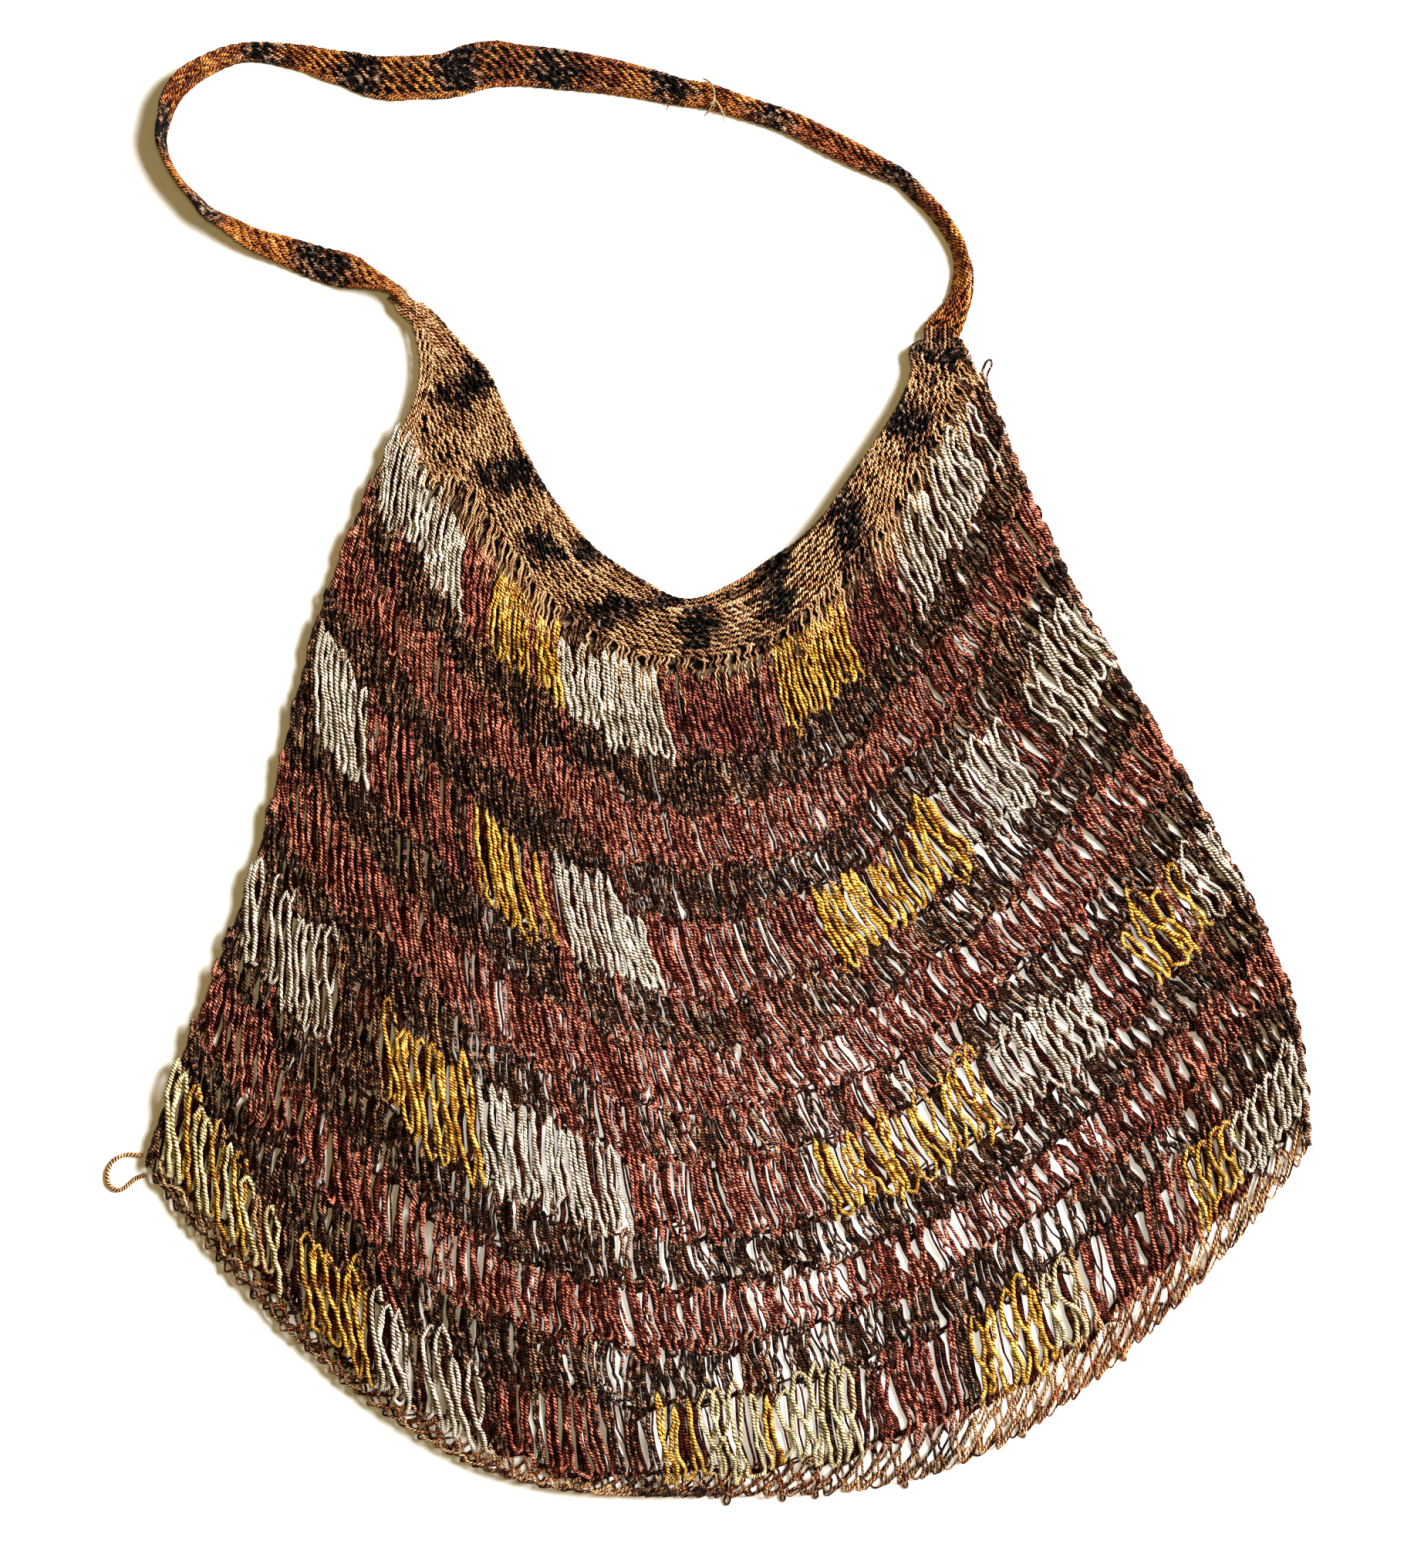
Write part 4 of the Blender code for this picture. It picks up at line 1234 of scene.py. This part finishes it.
def strapPoint(at, turn):
    # The point in mm on the strap's face, turn going from 0 to 1 once round its section
    ruler = strapRuler()
    at = np.clip(np.asarray(at, float), 0.0, ruler[-1])
    turn = np.asarray(turn, float)
    x, y, width, thick, roll, crease = curveAt(ruler, strapStations, at).T
    ahead = curveAt(ruler, strapStations[:, :2], np.minimum(at + 1.0, ruler[-1]))
    behind = curveAt(ruler, strapStations[:, :2], np.maximum(at - 1.0, 0.0))
    run = ahead - behind
    side = np.column_stack([-run[:, 1], run[:, 0]])
    side /= np.linalg.norm(side, axis=1)[:, None]
    corners = strapRound[:-1]
    knots = np.linspace(0.0, 1.0, len(strapRound))
    angle = np.radians(roll)
    wide = (width - 2 * strap["sink"])[:, None]
    deep = (thick - 2 * strap["sink"])[:, None]
    across = corners[:, 0] * wide
    up = corners[:, 1] * deep
    up[:, 3] -= np.maximum(0.0, crease)
    turnedX = across * np.cos(angle)[:, None] - up * np.sin(angle)[:, None]
    turnedZ = across * np.sin(angle)[:, None] + up * np.cos(angle)[:, None]
    turnedZ += strap["sink"] - turnedZ.min(axis=1)[:, None]
    turnedX = np.column_stack([turnedX, turnedX[:, 0]])
    turnedZ = np.column_stack([turnedZ, turnedZ[:, 0]])
    spot = turn % 1.0
    offset = np.array([np.interp(s, knots, row) for s, row in zip(spot, turnedX)])
    height = np.array([np.interp(s, knots, row) for s, row in zip(spot, turnedZ)])
    return np.column_stack([x + side[:, 0] * offset, y + side[:, 1] * offset, height])


def strapYarn(x, y, at, dice):
    depth = patchDepth(x, y, strapPatches) + dice.gauss(0.0, 0.20)
    if depth > 0.28:
        return "blackYarn"
    if depth > -0.10:
        return "coffeeYarn"
    mood = math.sin(at * 0.045) + 0.6 * math.sin(at * 0.13 + 2.0) + dice.gauss(0.0, 0.6)
    mood += 1.1 * float(smoothStep((at / strapRuler()[-1] - 0.55) / 0.2))
    return "sherryYarn" if mood > 0.55 else "goldYarn"


def strapStitches(dice):
    # Wavy stitches along the strap, all the way round it
    ruler = strapRuler()
    runs = []
    for column in range(strap["columns"]):
        turn = (column + 0.5) / strap["columns"]
        at = 0.6 + (column % 2) * strap["stitch"] / 2 + dice.uniform(-0.3, 0.3)
        while at < ruler[-1] - 1.0:
            reach = strap["stitch"] * 0.60
            along = np.array((-1.0, -0.5, 0.0, 0.5, 1.0)) * reach + at
            swing = np.array((-0.50, -0.42, 0.0, 0.42, 0.50)) / strap["columns"]
            points = strapPoint(along, turn + swing + dice.gauss(0.0, 0.005))
            middle = strapPoint(along, np.full(5, turn + 0.5))
            out = points - middle
            out /= np.maximum(np.linalg.norm(out, axis=1), 0.1)[:, None]
            width, thick = curveAt(ruler, strapStations[:, 2:4], np.array([at]))[0]
            space = 2 * (width + thick) / strap["columns"]
            radius = min(strap["radius"], 0.44 * space) * (1 + dice.gauss(0.0, 0.06))
            points = points + out * (np.array((-0.7, 0.2, 0.5, 0.2, -0.7)) * radius)[:, None]
            points[:, 2] = np.maximum(points[:, 2], radius + 0.03)
            runs.append((points, radius, strapYarn(points[1, 0], points[1, 1], at, dice)))
            at += strap["stitch"] * (1 + dice.gauss(0.0, 0.05))
    return runs


def edgeCords(dice):
    # A beaded cord along each edge of the strap
    ruler = strapRuler()
    runs = []
    for turn in (0.0, 0.5):
        at = np.arange(1.0, ruler[-1] - 1.0, strap["cordWave"] / 4)
        beads = 2 * math.pi * at / strap["cordWave"]
        points = strapPoint(at, np.full(len(at), turn) + 0.022 * np.sin(beads))
        points[:, 2] = np.maximum(points[:, 2] + 0.3 * np.cos(beads), strap["cordRadius"] + 0.03)
        for first in range(0, len(at) - 1, 16):
            run = points[first:first + 17].copy()
            run[0, 2] += 0.05
            yarn = ("sherryYarn", "goldYarn", "coffeeYarn")[int(dice.random() * 2.6)]
            if patchDepth(*run[0, :2], strapPatches) > 0.2:
                yarn = "blackYarn"
            runs.append((run, strap["cordRadius"], yarn))
    return runs


def strapShadeTube():
    # A dark closed tube with the strap's own section under the stitches, in the black yarn's finish:
    # painted shade between them
    ruler = strapRuler()
    stations = np.arange(0.5, ruler[-1] - 0.4, 4.0)
    count = len(strapRound) - 1
    bm = bmesh.new()
    rings = []
    for at in stations:
        turn = np.arange(count) / count
        ring = strapPoint(np.full(count, at), turn)
        middle = ring.mean(axis=0)
        ring = middle + (ring - middle) * 0.90
        rings.append([bm.verts.new(point) for point in inMetres(ring)])
    loops = []
    for ring in rings:
        loops.append([bm.edges.new((a, b)) for a, b in zip(ring, ring[1:] + ring[:1])])
    for one, other in zip(loops, loops[1:]):
        bmesh.ops.bridge_loops(bm, edges=one + other)
    bmesh.ops.holes_fill(bm, edges=loops[0] + loops[-1])
    bmesh.ops.recalc_face_normals(bm, faces=bm.faces)
    mesh = bpy.data.meshes.new("core")
    bm.to_mesh(mesh)
    bm.free()
    mesh.uv_layers.new(name="UVMap")
    mesh.materials.append(yarnMaterial("blackYarn"))
    return mesh


# Loose ends on the strap: x, y and z in mm, with their radius and yarn
looseThreads = (
    (((-3.0, 287.0, 5.6), (0.2, 285.0, 6.6), (1.6, 280.5, 6.6), (1.2, 275.6, 5.4)), 0.45, "creamYarn"),
    (((-0.5, 276.0, 5.6), (1.5, 277.5, 6.6), (3.2, 276.4, 6.0), (5.4, 272.4, 3.0),
      (5.9, 269.6, 1.6)), 0.35, "creamYarn"),
    (((1.0, 277.0, 6.2), (-0.6, 274.0, 4.6), (-2.6, 272.0, 2.6)), 0.35, "creamYarn"),
    (((-22.0, 281.0, 3.6), (-18.5, 279.0, 2.6), (-15.5, 276.6, 1.4)), 0.28, "goldYarn"),
    (((-19.0, 280.6, 3.4), (-17.5, 277.6, 2.0), (-18.4, 274.8, 1.2)), 0.28, "goldYarn"),
    (((105.6, 216.0, 2.6), (108.6, 211.0, 2.4), (109.6, 204.0, 2.2), (108.8, 196.0, 2.2),
      (106.6, 190.0, 2.6), (103.6, 185.5, 3.2)), 0.62, "coffeeYarn"),
    (((108.9, 209.0, 2.2), (107.4, 207.0, 2.2), (106.6, 204.6, 2.4)), 0.5, "sherryYarn"),
    (((109.2, 200.0, 2.2), (107.6, 198.4, 2.2), (106.4, 196.2, 2.4)), 0.5, "sherryYarn"),
)


def makeStrap():
    dice = random.Random(41)
    runs = strapStitches(dice) + edgeCords(dice)
    for points, radius, yarn in looseThreads:
        runs.append((roundOff(roundOff(np.array(points))), radius, yarn))
    stitches = addPiece("strap_stitches", [yarnTubes("strap_stitches", runs, 4)], "strap")
    # The strap's own piece is its dark tube of painted shade under the stitches
    return addPiece("strap_ground", [strapShadeTube()], "strap"), stitches


strapShadeGround, strapPiece = makeStrap()

# the loose loop at the lower left corner
cornerYarn = {"radius": 0.9, "height": 0.95, "sides": 8}
cornerLoop = np.array((
    (-237.4, -162.0), (-243.0, -161.5), (-248.0, -163.0), (-251.5, -167.5), (-251.5, -173.5),
    (-247.5, -176.5), (-243.5, -174.5), (-240.0, -171.5), (-236.0, -170.0),
))


def makeCornerLoop():
    points = np.column_stack([cornerLoop, np.full(len(cornerLoop), cornerYarn["height"])])
    runs = [(roundOff(roundOff(points)), cornerYarn["radius"], "tanYarn")]
    yarn = yarnTubes("corner_yarn", runs, cornerYarn["sides"])
    return addPiece("corner_yarn", [yarn], "corner_loop")


cornerPiece = makeCornerLoop()
